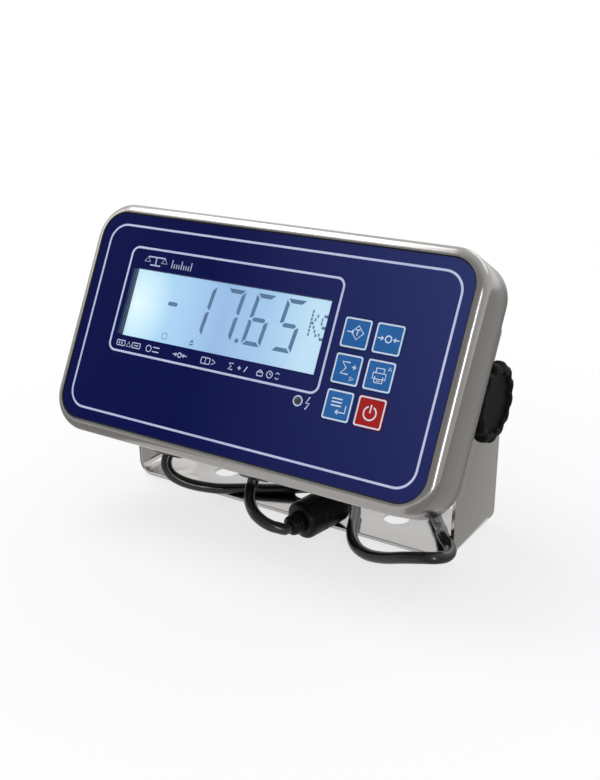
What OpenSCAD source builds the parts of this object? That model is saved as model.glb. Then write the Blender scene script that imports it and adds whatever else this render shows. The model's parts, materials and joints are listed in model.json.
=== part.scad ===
// Weighing indicator: a steel head with a display and six keys, tilting between the arms of a bracket.
// Millimetres. X runs to the right, Y to the back and Z up.
// The origin is the middle of the underside of the bracket's base.

/* [Bracket] */
// Width over the two arms
bracket_w = 198; // [192:1:204]
// Depth of the base and of the arms
bracket_depth = 49.2; // [46:0.2:51]
// Thickness of the bracket's sheet
bracket_t = 2; // [1.5:0.1:2.4]
// Outer radius of the two bends
bend_r = 8; // [6:0.5:9]
// Height of the arms above the tilt axis
arm_over = 14; // [12:0.5:16]
// Corner radius at the top of the arms
arm_corner_r = 12; // [8:0.5:14]
// Diameter of the three base holes
base_hole_d = 14; // [8:0.5:16]
// Distance between neighbouring base holes
base_hole_pitch = 55; // [45:1:65]

/* [Head] */
// Height of the tilt axis above the table
pivot_z = 77; // [76:0.5:84]
// Backward lean of the face at rest, in degrees
tilt_back = 28.25; // [22:0.25:34]
// Distance from the tilt axis forward to the face
face_ahead = 57.5; // [56.5:0.5:62]
// Distance from the tilt axis down to the middle of the face
face_below = 1.8; // [0:0.1:3]
// Width of the front shell
housing_w = 222; // [218:1:234]
// Height of the front shell
housing_h = 121; // [118:1:128]
// Corner radius of the front shell
housing_r = 19.5; // [16:0.5:24]
// Rounding of the front rim
rim_r = 5.5; // [4:0.25:6]
// Depth of the front shell behind the face
shell_depth = 26.7; // [25.5:0.1:29]
// Thickness of the housing's sheet
sheet_t = 1.5; // [1.2:0.1:1.6]
// Height of the rear box
box_h = 90; // [88:1:94]
// Depth of the rear box behind the rear plate
box_depth = 49.8; // [49.8:0.2:54]
// Corner radius of the rear box
box_r = 8; // [5:0.5:12]

/* [Face] */
// Width of the printed face
overlay_w = 211.2; // [208:0.2:212]
// Height of the printed face
overlay_h = 109.6; // [107:0.2:110.4]
// Corner radius of the printed face
overlay_r = 13; // [10:0.5:16]
// Width of the display window
window_w = 116.5; // [110:0.5:118]
// Height of the display window
window_h = 34.9; // [30:0.1:36]
// Middle of the display window, to the left of the face's middle
window_left = 19.75; // [18:0.25:22]
// Middle of the display window above the face's middle
window_up = 9.75; // [8:0.25:12]
// Width and height of a key
key_w = 14.2; // [12:0.1:15]
// Distance between the key columns
key_pitch_x = 16.5; // [16:0.1:18]
// Distance between the key rows
key_pitch_y = 16.73; // [16:0.01:18]
// Gap between the display window and the key block
window_to_keys = 9.4; // [8:0.1:14]
// Middle of the key block below the face's middle
keys_below = 2.43; // [0:0.01:5]
// Travel of a key
key_travel = 0.4; // [0.2:0.05:0.4]

/* [Knobs] */
// Diameter of a hand knob
knob_d = 40; // [34:1:46]
// Thickness of a hand knob's rim
knob_t = 6.6; // [6:0.2:9]
// Number of scallops round a knob
knob_scallops = 13; // [8:1:16]
// Diameter of the knob's stud
stud_d = 8; // [6:0.5:8]

/* [Leads] */
// Diameter of both leads
cord_d = 6; // [5.4:0.1:6]
// Diameter of the in-line connector
connector_d = 20; // [18:0.5:20.5]
// Length of the in-line connector
connector_len = 26; // [22:1:27]

/* [Hidden] */
$fn = 48;

// How far every cutter runs past the face it cuts
overrun = 1;
// Gap between pieces that slide into each other
fit_gap = 0.3;
// Radial gap of a shaft that turns in a bore
running_gap = 0.05;
// Radial gap of a screw in its thread or hole
screw_gap = 0.05;
hole_gap = 0.25;

// Layers of the face, counted backwards from its printed surface
rim_proud = 0.5;
overlay_t = 0.8;
spacer_t = 0.8;
circuit_t = 0.4;
spacer_at = overlay_t;
circuit_at = spacer_at + spacer_t;
panel_at = circuit_at + circuit_t;
panel_back_at = panel_at + sheet_t;
face_edge_gap = 0.3;
// Openings in the circuit sheet step in from those in front of it, so what lies on it is carried
ledge = 0.9;

// Middle of the key block, to the right of the face's middle
keys_right = window_w / 2 - window_left + window_to_keys + (key_pitch_x + key_w) / 2;

// Keys and the domes that they press
key_r = 1.3;
key_t = 0.9;
key_proud = 0.35;
key_gap = 0.25;
dome_d = 8;
dome_h = 0.6;
key_column = [-1, 1];
tail_w = 12;
tail_t = 0.3;
tail_below = 33.5;
socket_w = 16;
socket_h = 5;
socket_t = 3.4;

// Charge light
led_right = 34;
led_below = 21;
led_d = 3;
led_gap = 0.15;
led_len = 5.6;
led_sunk = 0.1;
led_flange_d = 3.8;
led_flange_t = 1;
led_leg_d = 0.5;
led_leg_pitch = 1.6;

// Display cell, its light and its holder
glass_sunk = 0.3;
glass_over_w = 2.6;
glass_over_h = 3.6;
glass_t = 2.8;
light_t = 4;
glass_w = window_w + glass_over_w;
glass_h = window_h + glass_over_h;
glass_at = panel_at + glass_sunk;
light_at = glass_at + glass_t;
light_back_at = light_at + light_t;
light_short = 3.4;
panel_gap = 0.5;
frame_wall = 4;
frame_lip = 6;
strip_w = 110;
strip_t = 2;

// Circuit board and what stands on it
standoff_h = 8.5;
standoff_d = 6.5;
board_t = 1.6;
board_to_side = 16;
board_w = housing_w - 2 * board_to_side;
board_h = 92;
board_inset = 5;
board_at = panel_back_at + standoff_h;
board_back_at = board_at + board_t;
board_screw_d = 3;
board_screw_len = 8;
board_screw_head_d = 5.6;
board_screw_head_t = 2;
chip_t = 1.8;
chip_w = 14;
chip_size_share = [[1, 1], [0.7, 0.7], [0.9, 0.6], [0.5, 0.8], [0.7, 0.5]];
chip_place_share = [[-0.3, 0.2], [-0.12, -0.02], [0.08, 0.26], [0.22, 0.04], [-0.38, -0.1]];
capacitor_d = 8;
capacitor_h = 10.5;
capacitor_place_share = [[0.36, 0.3], [0.36, 0.12], [-0.42, 0.3]];
buzzer_d = 12;
buzzer_h = 8.5;
buzzer_hole_d = 2;
buzzer_place_share = [0.42, -0.14];
header_w = 12;
header_h = 8;
header_t = 7;
header_below = 33.5;

// Rear plate, its gasket and its screws
plate_sunk = 0.5;
flange_w = 8;
gasket_t = 2;
plate_back_at = shell_depth - plate_sunk;
plate_at = plate_back_at - sheet_t;
gasket_at = plate_at - gasket_t;
flange_at = gasket_at - sheet_t;
box_edge_r = 4;
cover_screw_d = 3;
cover_screw_head_d = 5.5;
cover_screw_head_t = 1.8;
cover_screw_up = 24;
cover_screw_right = 55;
cover_nut_d = 6;
cover_nut_t = 2.5;
cover_screw_past = 0.4;

// Tilt axis
friction_t = 3;
friction_d = 26;
washer_t = 1;
washer_d = 18;
pivot_nut_af = 13;
pivot_nut_t = 6.5;
stud_past = 5.5;
knob_hub_d = 15;
knob_hub_h = 0.6;
knob_rim_at = 0.5;
knob_edge_r = 2.4;
knob_bore_depth = 4.6;
dish_d = 31;
dish_depth = 2.2;
scallop_r = 3.2;
scallop_bite = 1.6;

// Cable glands under the rear box
gland_behind = 45;
power_gland_x = -63;
signal_gland_x = -6.5;
gland_thread_d = 16;
gland_flange_af = 19;
gland_flange_t = 4;
gland_lower_d = 13.6;
gland_lower_len = 7;
gland_nut_d = 18;
gland_nut_len = 14;
gland_nut_edge_r = 3;
gland_nut_wall = 1.6;
gland_locknut_af = 20;
gland_locknut_t = 4;
gland_seal_t = 4;
cord_gap = 0.2;

// Battery, its tray and its strap
battery_len = 100;
battery_h = 70;
battery_t = 46.8;
battery_gap = 0.2;
tray_t = 1.2;
tray_side = 1.5;
tray_leg = 11;
strap_h = 14;
strap_low = 4;
terminal_len = 6;
terminal_w = 4.8;
terminal_t = 0.8;
terminal_up = 22;
terminal_down = 14;
wire_d = 1.8;
wire_sides = 8;
battery_header_x = 70;
wire_apart = 2.5;

// Lead shapes
cord_sides = 8;
coil_sides = 6;
cord_r = cord_d / 2;

// In-line connector: its front end, and how it is turned and raised
connector_front = [22.7, -43.4, 10.35];
connector_turn = 16.6;
connector_rise = 5.74;
connector_edge_r = 2.5;
connector_wall = 2.4;
connector_mouth = 11;
connector_insert_t = 10;
connector_nut_d = 11.5;
connector_nut_tip_d = 9;
connector_nut_len = 7;
connector_nut_taper = 2.5;
contact_d = 1.6;
contact_circle_d = 8;
contact_count = 5;
contact_sunk = 1;

// Coil of the power lead, its tie and its plug
coil_middle = [0, 80];
coil_out_r = 42;
coil_pitch = cord_d + 0.5;
coil_layer = cord_d + 0.6;
coil_turns_in = 2.5;
coil_turns_climb = 0.5;
coil_turns_out = 2.25;
coil_rings = 24;
tie_t = 1;
tie_gap = 0.5;
tie_w = 8;
plug_relief_len = 14;
plug_relief_d = 7.2;
plug_body_d = 11;
plug_body_len = 20;
plug_neck_d = 10;
plug_edge_r = 1.5;
plug_tip_d = 5.5;
plug_tip_len = 9.5;
plug_tip_bore_d = 2.1;
plug_tip_sunk = 3;
plug_lift = 0.1;

bracket_in_x = bracket_w / 2 - bracket_t;
box_w = bracket_w - 2 * bracket_t - 2 * friction_t;
arm_top = pivot_z + arm_over;
window_x = -window_left;
face_z = -face_below;
box_bottom = face_z - box_h / 2;
box_floor = box_bottom + sheet_t;
box_back = plate_back_at + box_depth - face_ahead;
gland_y = gland_behind - face_ahead;
gland_end = box_bottom - gland_flange_t - gland_nut_len;
header_z = face_z - header_below;
header_back = board_back_at + header_t - face_ahead;
battery_top = face_z + box_h / 2 - sheet_t - battery_gap;
battery_back = box_back - sheet_t - battery_gap;

// A direction and a point of the tilted head, seen from the table
function lean(v) = [v.x, v.y * cos(tilt_back) + v.z * sin(tilt_back), v.z * cos(tilt_back) - v.y * sin(tilt_back)];
function from_head(p) = lean(p) + [0, 0, pivot_z];

module head_place() {
    translate([0, 0, pivot_z]) rotate([-tilt_back, 0, 0]) children();
}

// Drawn flat with its front up, and set at a depth behind the printed face
module face_place(depth) {
    head_place() translate([0, depth - face_ahead, face_z]) rotate([90, 0, 0]) children();
}

// Drawn flat with its back up, and set at a depth behind the printed face
module rear_place(depth) {
    head_place() translate([0, depth - face_ahead, face_z]) rotate([-90, 0, 0]) children();
}

// A plate of the face whose front lies at a depth
module face_plate(w, h, r, depth, t) {
    face_place(depth + t) linear_extrude(t) rounded_rect(w, h, r);
}

module rounded_rect(w, h, r) {
    square([w - 2 * r, h], center = true);
    square([w, h - 2 * r], center = true);
    for (sx = [-1, 1], sy = [-1, 1]) translate([sx * (w / 2 - r), sy * (h / 2 - r)]) circle(r);
}

// Section of a pan's wall: the front lies on the X axis and the outer side at x = r
module pan_solid(r, edge_r, depth) {
    translate([0, -depth]) square([r - edge_r, depth]);
    translate([0, -depth]) square([r, depth - edge_r]);
    translate([r - edge_r, -edge_r]) intersection() {
        circle(edge_r);
        square(edge_r);
    }
}

module pan_section(r, edge_r, depth, side_t, front_t) {
    difference() {
        pan_solid(r, edge_r, depth);
        translate([-overrun, -depth - overrun]) square([overrun + r - side_t, overrun + depth - front_t]);
    }
}

// Open box with a rounded front edge: its front lies at z = 0 and its mouth below
module pan(w, h, r, edge_r, depth, side_t, front_t) {
    for (i = [0:3]) {
        run = i % 2 == 0 ? h - 2 * r : w - 2 * r;
        out = i % 2 == 0 ? w / 2 - r : h / 2 - r;
        rotate([0, 0, 90 * i]) translate([out, run / 2, 0]) rotate([90, 0, 0]) linear_extrude(run)
            pan_section(r, edge_r, depth, side_t, front_t);
        rotate([0, 0, 90 * i]) translate([out, run / 2, 0]) rotate_extrude(angle = 90)
            pan_section(r, edge_r, depth, side_t, front_t);
    }
    translate([0, 0, -front_t / 2]) cube([w - 2 * r, h - 2 * r, front_t], center = true);
}

module hexagon(af) {
    circle(d = af / cos(30), $fn = 6);
}

// A rod along +X whose near end is at x
module rod_x(x, len, d) {
    translate([x, 0, 0]) rotate([0, 90, 0]) cylinder(h = len, d = d);
}

// Swept tubes
function unit(v) = v / norm(v);
function tangents(p) = [for (i = [0:len(p) - 1]) unit(p[min(i + 1, len(p) - 1)] - p[max(i - 1, 0)])];
function flat_to(v, t) = unit(v - (v * t) * t);
function side_vectors(t, up) = [
    for (i = 0, m = unit(cross(t[0], up)); i < len(t); i = i + 1, m = flat_to(m, t[min(i, len(t) - 1)])) m
];
function tube_rings(p, t, m, r, n) = [
    for (i = [0:len(p) - 1], k = [0:n - 1])
        let (a = 360 * (k + 0.5) / n) p[i] + r * cos(a) * m[i] + r * sin(a) * cross(t[i], m[i])
];
function tube_faces(rings, n) = concat(
    [for (k = [1:n - 2]) [0, k, k + 1]],
    [for (k = [1:n - 2]) [(rings - 1) * n, (rings - 1) * n + k + 1, (rings - 1) * n + k]],
    [for (i = [0:rings - 2], k = [0:n - 1]) [i * n + k, (i + 1) * n + k, (i + 1) * n + (k + 1) % n]],
    [for (i = [0:rings - 2], k = [0:n - 1]) [i * n + k, (i + 1) * n + (k + 1) % n, i * n + (k + 1) % n]]
);

module tube(p, d, n, up) {
    t = tangents(p);
    polyhedron(points = tube_rings(p, t, side_vectors(t, up), d / 2, n), faces = tube_faces(len(p), n));
}

// Leads. Each starts square to its gland, and what follows is its route by hand.
lead_start = 3;
function gland_exit(x) = [x, gland_y, gland_end];
function gland_start(x) = [
    from_head(gland_exit(x)), from_head(gland_exit(x) - [0, 0, lead_start])
];
connector_along = [
    sin(connector_turn) * cos(connector_rise), cos(connector_turn) * cos(connector_rise), sin(connector_rise)
];
relief_end = connector_front - connector_nut_len * connector_along;

signal_route = concat(gland_start(signal_gland_x), [
    [-5.9, -45.7, 21.5], [-3.4, -49.9, 18.7], [0.5, -53.9, 16.9], [5.1, -57, 15.5], [7.8, -57.9, 14.7],
    [10.4, -58.1, 13.6], [13.1, -57.7, 12.5], [15.5, -56.6, 11.4], [17.7, -54.9, 10.5]
], [relief_end - lead_start * connector_along, relief_end]);

coil_low_z = cord_r + tie_t + tie_gap;
coil_start = [coil_middle.x + coil_out_r, coil_middle.y - cord_d, coil_low_z];
power_route = concat(gland_start(power_gland_x), [
    [-61.8, -44.2, 19.5], [-59.4, -43.7, 16], [-56, -41.6, 13], [-51.8, -38, 10.2], [-46.8, -33.2, 7.8],
    [-40.8, -28, 6], [-34.5, -22.2, 5.1], [-27, -17, 5], [-18.5, -12.6, 5], [-10, -7.2, 5], [-2.5, -1.2, 5],
    [5, 3.6, 5], [13.5, 5.6, 5], [21.3, 4.2, 5], [28.5, -0.2, 5], [34.2, -7.2, 5], [38.8, -16, 5],
    [42.6, -24.4, 5], [45.9, -31, 4.4], [50, -36.6, 3.7], [55.5, -41, 3.1], [62.2, -44.1, 3.5], [69.5, -46.5, 5.4],
    [76.7, -48.3, 8], [83.9, -49.6, 11], [91.5, -49.7, 13.3], [95.3, -48.7, 13.9], [98.7, -46.7, 13.8],
    [101.2, -43.7, 13.4], [102.5, -40, 12.8], [102.3, -36.1, 12.6], [100.8, -32.5, 12.7], [98.1, -29.6, 13.2],
    [92.7, -23.9, 13.5], [89.1, -17.1, 11.5], [85.9, -10.5, 8.4], [82.1, -4.1, 5.8], [77.6, 2, 5],
    [72, 10.6, 5], [66.5, 19, 5], [61.5, 27.5, 5], [56, 38.5, 3.6], [48.6, 53.5, 3.2], [44.2, 63.5, 3.9]
], [coil_start - [0, lead_start, 0], coil_start]);

// The coil spirals in along the lower layer, climbs where it turns back, and spirals out on top
coil_in_end = 360 * coil_turns_in;
coil_climb_end = coil_in_end + 360 * coil_turns_climb;
coil_end = coil_climb_end + 360 * coil_turns_out;
coil_in_r = coil_out_r - coil_pitch * coil_turns_in;
function coil_r(a) =
    a < coil_in_end ? coil_out_r - coil_pitch * a / 360
    : a < coil_climb_end
        ? coil_in_r - coil_pitch / (2 * PI) * sin(180 * (a - coil_in_end) / (coil_climb_end - coil_in_end))
        : coil_in_r + coil_pitch * (a - coil_climb_end) / 360;
function coil_z(a) =
    a < coil_in_end ? coil_low_z
    : a < coil_climb_end
        ? coil_low_z + coil_layer * (1 - cos(180 * (a - coil_in_end) / (coil_climb_end - coil_in_end))) / 2
        : coil_low_z + coil_layer;
function coil_point(a) = [
    coil_middle.x + coil_r(a) * cos(a), coil_middle.y + coil_r(a) * sin(a), coil_z(a)
];
coil_last = coil_point(coil_end) + cord_d * [-sin(coil_end), cos(coil_end), 0];
coil_route = concat([coil_start], [for (a = [0:360 / coil_rings:coil_end]) coil_point(a)], [coil_last]);
coil_gap = min([
    for (i = [0:len(coil_route) - 1], j = [i + coil_rings / 2:len(coil_route) - 1])
        norm(coil_route[i] - coil_route[j])
]) - cord_d;
echo(str("least gap of the coil to itself, in mm: ", coil_gap));

tail_route = concat([coil_last, coil_last - [cord_d, 0, 0]], [
    [-20, 120.2, 9.5], [-28, 119.9, 7.4], [-36, 119.6, 6], [-41, 119.5, 5.6], [-44, 119.5, 5.6]
]);
plug_start = tail_route[len(tail_route) - 1];

// Bracket
module bracket_profile() {
    difference() {
        union() {
            translate([-bracket_w / 2, bend_r]) square([bracket_w, arm_top - bend_r]);
            translate([-bracket_w / 2 + bend_r, 0]) square([bracket_w - 2 * bend_r, bend_r + overrun]);
            for (s = [-1, 1]) translate([s * (bracket_w / 2 - bend_r), bend_r]) circle(bend_r);
        }
        translate([-bracket_in_x, bend_r]) square([2 * bracket_in_x, arm_top]);
        translate([-bracket_w / 2 + bend_r, bracket_t]) square([bracket_w - 2 * bend_r, bend_r]);
        for (s = [-1, 1]) translate([s * (bracket_w / 2 - bend_r), bend_r]) circle(bend_r - bracket_t);
    }
}

// Side view of an arm, drawn with Y to the right and Z up
module arm_outline() {
    translate([-bracket_depth / 2, 0]) square([bracket_depth, arm_top - arm_corner_r]);
    translate([-bracket_depth / 2 + arm_corner_r, 0]) square([bracket_depth - 2 * arm_corner_r, arm_top]);
    for (s = [-1, 1]) translate([s * (bracket_depth / 2 - arm_corner_r), arm_top - arm_corner_r])
        circle(arm_corner_r);
}

module bracket() {
    color("silver") difference() {
        intersection() {
            translate([0, bracket_depth / 2, 0]) rotate([90, 0, 0]) linear_extrude(bracket_depth)
                bracket_profile();
            translate([-bracket_w / 2, 0, 0]) rotate([90, 0, 90]) linear_extrude(bracket_w) arm_outline();
        }
        for (i = [-1:1]) translate([i * base_hole_pitch, 0, -overrun])
            cylinder(h = bracket_t + 2 * overrun, d = base_hole_d);
        translate([0, 0, pivot_z]) rod_x(-bracket_w, 2 * bracket_w, stud_d + 2 * hole_gap);
    }
}

// Both sides of the tilt axis: the pieces are drawn on the right and mirrored
module on_both_sides() {
    translate([0, 0, pivot_z]) {
        children();
        mirror([1, 0, 0]) children();
    }
}

module on_one_side(s) {
    translate([0, 0, pivot_z]) mirror([s < 0 ? 1 : 0, 0, 0]) children();
}

module ring_x(x, len, d, bore) {
    difference() {
        rod_x(x, len, d);
        rod_x(x - overrun, len + 2 * overrun, bore);
    }
}

module arm_washers() {
    color("gainsboro") on_both_sides() ring_x(bracket_w / 2, washer_t, washer_d, stud_d + 2 * hole_gap);
}

module friction_washers() {
    color("black") on_both_sides() ring_x(box_w / 2, friction_t, friction_d, stud_d + 2 * hole_gap);
}

module pivot_nuts() {
    color("silver") on_both_sides() difference() {
        translate([box_w / 2 - sheet_t - pivot_nut_t, 0, 0]) rotate([0, 90, 0]) linear_extrude(pivot_nut_t)
            hexagon(pivot_nut_af);
        rod_x(0, box_w, stud_d + 2 * running_gap);
    }
}

knob_at = bracket_w / 2 + washer_t;

// Half section of a knob, with its axis on Y and its hub face on the X axis
module knob_section() {
    dish_r = (dish_d * dish_d / 4 + dish_depth * dish_depth) / (2 * dish_depth);
    rim_h = knob_t;
    difference() {
        union() {
            square([knob_hub_d / 2, knob_hub_h + knob_rim_at]);
            translate([0, knob_rim_at]) square([knob_d / 2 - knob_edge_r, rim_h]);
            translate([0, knob_rim_at + knob_edge_r]) square([knob_d / 2, rim_h - 2 * knob_edge_r]);
            for (y = [knob_edge_r, rim_h - knob_edge_r]) translate([knob_d / 2 - knob_edge_r, knob_rim_at + y])
                circle(knob_edge_r);
        }
        intersection() {
            translate([0, knob_rim_at + rim_h + dish_r - dish_depth]) circle(dish_r, $fn = 180);
            square([dish_d, dish_d]);
        }
        translate([0, -overrun]) square([stud_d / 2 + running_gap, knob_bore_depth + overrun]);
    }
}

module knob_body() {
    translate([knob_at, 0, 0]) rotate([0, 90, 0]) difference() {
        rotate_extrude() knob_section();
        for (i = [0:knob_scallops - 1]) rotate([0, 0, 360 * i / knob_scallops])
            translate([knob_d / 2 + scallop_r - scallop_bite, 0, -overrun])
                cylinder(h = knob_rim_at + knob_t + 2 * overrun, r = scallop_r);
    }
}

module stud_body() {
    stud_in = box_w / 2 - sheet_t - stud_past;
    rod_x(stud_in, knob_at + knob_bore_depth - stud_in, stud_d);
}

module left_knob() {
    color("dimgray") on_one_side(-1) knob_body();
}

module right_knob() {
    color("dimgray") on_one_side(1) knob_body();
}

module left_knob_stud() {
    color("silver") on_one_side(-1) stud_body();
}

module right_knob_stud() {
    color("silver") on_one_side(1) stud_body();
}

// Housing
module cover_screw_places() {
    side_x = housing_w / 2 - sheet_t - flange_w / 2;
    side_y = housing_h / 2 - sheet_t - flange_w / 2;
    for (s = [-1, 1], t = [-1, 1]) {
        translate([s * side_x, t * cover_screw_up, 0]) children();
        translate([s * cover_screw_right, t * side_y, 0]) children();
    }
}

shell_in_w = housing_w - 2 * sheet_t;
shell_in_h = housing_h - 2 * sheet_t;
shell_in_r = housing_r - sheet_t;

module flange_ring(w, h, r) {
    difference() {
        rounded_rect(w, h, r);
        rounded_rect(shell_in_w - 2 * flange_w, shell_in_h - 2 * flange_w, shell_in_r - flange_w);
    }
}

module front_shell() {
    color("silver") difference() {
        union() {
            face_place(-rim_proud)
                pan(housing_w, housing_h, housing_r, rim_r, rim_proud + shell_depth, sheet_t,
                    rim_proud + panel_back_at);
            face_place(flange_at + sheet_t) linear_extrude(sheet_t) flange_ring(
                housing_w - sheet_t, housing_h - sheet_t, housing_r - sheet_t / 2);
        }
        face_place(panel_at) linear_extrude(panel_at + rim_proud + overrun)
            rounded_rect(overlay_w + 2 * face_edge_gap, overlay_h + 2 * face_edge_gap, overlay_r + face_edge_gap);
        face_place(panel_back_at + overrun) linear_extrude(sheet_t + 2 * overrun) {
            translate([window_x, window_up]) square([glass_w + 2 * panel_gap, glass_h + 2 * panel_gap], center = true);
            translate([led_right, -led_below]) circle(d = led_flange_d + 2 * hole_gap);
            translate([keys_right, -tail_below]) square([tail_w + 2 * fit_gap, tail_t + 2 * fit_gap], center = true);
        }
        face_place(flange_at + sheet_t + overrun) cover_screw_places()
            cylinder(h = sheet_t + 2 * overrun, d = cover_screw_d + 2 * screw_gap);
    }
}

module rear_case() {
    color("silver") difference() {
        union() {
            rear_place(plate_back_at) translate([0, 0, -sheet_t]) linear_extrude(sheet_t) difference() {
                rounded_rect(shell_in_w - 2 * fit_gap, shell_in_h - 2 * fit_gap, shell_in_r - fit_gap);
                rounded_rect(box_w - 2 * box_r, box_h - 2 * box_r, box_r);
            }
            rear_place(plate_back_at + box_depth)
                pan(box_w, box_h, box_r, box_edge_r, box_depth, sheet_t, sheet_t);
        }
        rear_place(plate_back_at) translate([0, 0, -sheet_t - overrun]) cover_screw_places()
            cylinder(h = sheet_t + 2 * overrun, d = cover_screw_d + 2 * screw_gap);
        translate([0, 0, pivot_z]) rod_x(-box_w, 2 * box_w, stud_d + 2 * hole_gap);
        head_place() for (x = [power_gland_x, signal_gland_x]) translate([x, gland_y, box_bottom - overrun])
            cylinder(h = sheet_t + 2 * overrun, d = gland_thread_d + 2 * hole_gap);
    }
}

module rear_gasket() {
    color("dimgray") difference() {
        face_place(gasket_at + gasket_t) linear_extrude(gasket_t)
            flange_ring(shell_in_w - 2 * fit_gap, shell_in_h - 2 * fit_gap, shell_in_r - fit_gap);
        face_place(gasket_at + gasket_t + overrun) cover_screw_places()
            cylinder(h = gasket_t + 2 * overrun, d = cover_screw_d + 2 * screw_gap);
    }
}

module cover_screws() {
    shaft = plate_back_at - flange_at + cover_nut_t + cover_screw_past;
    color("gainsboro") rear_place(plate_back_at) cover_screw_places() {
        cylinder(h = cover_screw_head_t, d = cover_screw_head_d);
        translate([0, 0, -shaft]) cylinder(h = shaft, d = cover_screw_d);
    }
}

module cover_nuts() {
    color("gainsboro") rear_place(flange_at) cover_screw_places() difference() {
        translate([0, 0, -cover_nut_t]) linear_extrude(cover_nut_t) hexagon(cover_nut_d);
        translate([0, 0, -cover_nut_t - overrun])
            cylinder(h = cover_nut_t + 2 * overrun, d = cover_screw_d + 2 * screw_gap);
    }
}

// Cable glands, drawn with the underside of the rear box at z = 0
module gland_places() {
    head_place() for (x = [power_gland_x, signal_gland_x]) translate([x, gland_y, box_bottom]) children();
}

gland_bore_d = cord_d + 2 * cord_gap;

module gland_bodies() {
    stem = sheet_t + gland_locknut_t;
    color("black") gland_places() difference() {
        union() {
            cylinder(h = stem, d = gland_thread_d);
            translate([0, 0, -gland_flange_t]) linear_extrude(gland_flange_t) hexagon(gland_flange_af);
            translate([0, 0, -gland_flange_t - gland_lower_len]) cylinder(h = gland_lower_len, d = gland_lower_d);
        }
        translate([0, 0, -gland_flange_t - gland_lower_len - overrun])
            cylinder(h = stem + gland_flange_t + gland_lower_len + 2 * overrun, d = gland_bore_d);
    }
}

module gland_locknuts() {
    color("dimgray") gland_places() translate([0, 0, sheet_t]) difference() {
        linear_extrude(gland_locknut_t) hexagon(gland_locknut_af);
        translate([0, 0, -overrun])
            cylinder(h = gland_locknut_t + 2 * overrun, d = gland_thread_d + 2 * running_gap);
    }
}

module gland_seals() {
    color("dimgray") gland_places() translate([0, 0, -gland_flange_t - gland_lower_len - gland_seal_t])
        difference() {
            cylinder(h = gland_seal_t, d = gland_lower_d);
            translate([0, 0, -overrun]) cylinder(h = gland_seal_t + 2 * overrun, d = gland_bore_d);
        }
}

module gland_nuts() {
    cavity = gland_lower_len + gland_seal_t;
    color("black") gland_places() translate([0, 0, -gland_flange_t]) rotate([180, 0, 0]) difference() {
        rotate_extrude() translate([0, gland_nut_len])
            pan_solid(gland_nut_d / 2, gland_nut_edge_r, gland_nut_len);
        translate([0, 0, -overrun]) cylinder(h = cavity + overrun, d = gland_lower_d + 2 * running_gap);
        translate([0, 0, -overrun]) cylinder(h = gland_nut_len + 2 * overrun, d = gland_bore_d);
    }
}

// Face layers
module led_place() {
    translate([led_right, -led_below]) children();
}

module key_places() {
    for (cx = key_column, row = [-1:1]) translate([keys_right + cx * key_pitch_x / 2, row * key_pitch_y - keys_below])
        children();
}

module face_overlay() {
    color("midnightblue") face_place(overlay_t) linear_extrude(overlay_t) difference() {
        rounded_rect(overlay_w, overlay_h, overlay_r);
        translate([window_x, window_up]) square([window_w + fit_gap, window_h + fit_gap], center = true);
        key_places() rounded_rect(key_w + 2 * key_gap, key_w + 2 * key_gap, key_r + key_gap);
        led_place() circle(d = led_d + 2 * led_gap);
    }
}

module keypad_spacer() {
    color("lightsteelblue") face_place(spacer_at + spacer_t) linear_extrude(spacer_t) difference() {
        rounded_rect(overlay_w, overlay_h, overlay_r);
        translate([window_x, window_up])
            square([window_w + 2 * ledge + 2 * fit_gap, window_h + 2 * ledge + 2 * fit_gap], center = true);
        key_places() rounded_rect(key_w + 2 * key_gap, key_w + 2 * key_gap, key_r + key_gap);
        led_place() circle(d = led_d + 2 * led_gap);
    }
}

module keypad_circuit() {
    color("tan") face_place(circuit_at + circuit_t) linear_extrude(circuit_t) difference() {
        rounded_rect(overlay_w, overlay_h, overlay_r);
        translate([window_x, window_up]) square([window_w, window_h], center = true);
        led_place() circle(d = led_d + 2 * led_gap);
    }
}

// Each dome is a cap of a sphere, seated on the circuit sheet
module snap_domes() {
    dome_r = (dome_d * dome_d / 4 + dome_h * dome_h) / (2 * dome_h);
    color("silver") face_place(circuit_at) key_places() rotate_extrude() intersection() {
        translate([0, dome_h - dome_r]) circle(dome_r, $fn = 180);
        square([dome_d, dome_d]);
    }
}

module keypad_tail() {
    color("tan") face_place(board_at - socket_t) translate([keys_right, -tail_below, 0])
        linear_extrude(board_at - socket_t - panel_at) square([tail_w, tail_t], center = true);
}

module keypad_socket() {
    color("ivory") face_place(board_at) translate([keys_right, -tail_below, 0])
        linear_extrude(socket_t) square([socket_w, socket_h], center = true);
}

module key_cap(cx, row) {
    face_place(key_t - key_proud) translate([keys_right + cx * key_pitch_x / 2, row * key_pitch_y - keys_below, 0])
        linear_extrude(key_t) rounded_rect(key_w, key_w, key_r);
}

module key_tare() {
    color("royalblue") key_cap(-1, 1);
}

module key_zero() {
    color("royalblue") key_cap(1, 1);
}

module key_sum() {
    color("royalblue") key_cap(-1, 0);
}

module key_print() {
    color("royalblue") key_cap(1, 0);
}

module key_menu() {
    color("royalblue") key_cap(-1, -1);
}

module key_power() {
    color("firebrick") key_cap(1, -1);
}

module display_window() {
    color("lightblue", 0.5) face_place(circuit_at) translate([window_x, window_up, 0]) {
        linear_extrude(spacer_t) square([window_w + 2 * ledge, window_h + 2 * ledge], center = true);
        linear_extrude(spacer_t + overlay_t) square([window_w - fit_gap, window_h - fit_gap], center = true);
    }
}

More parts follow.
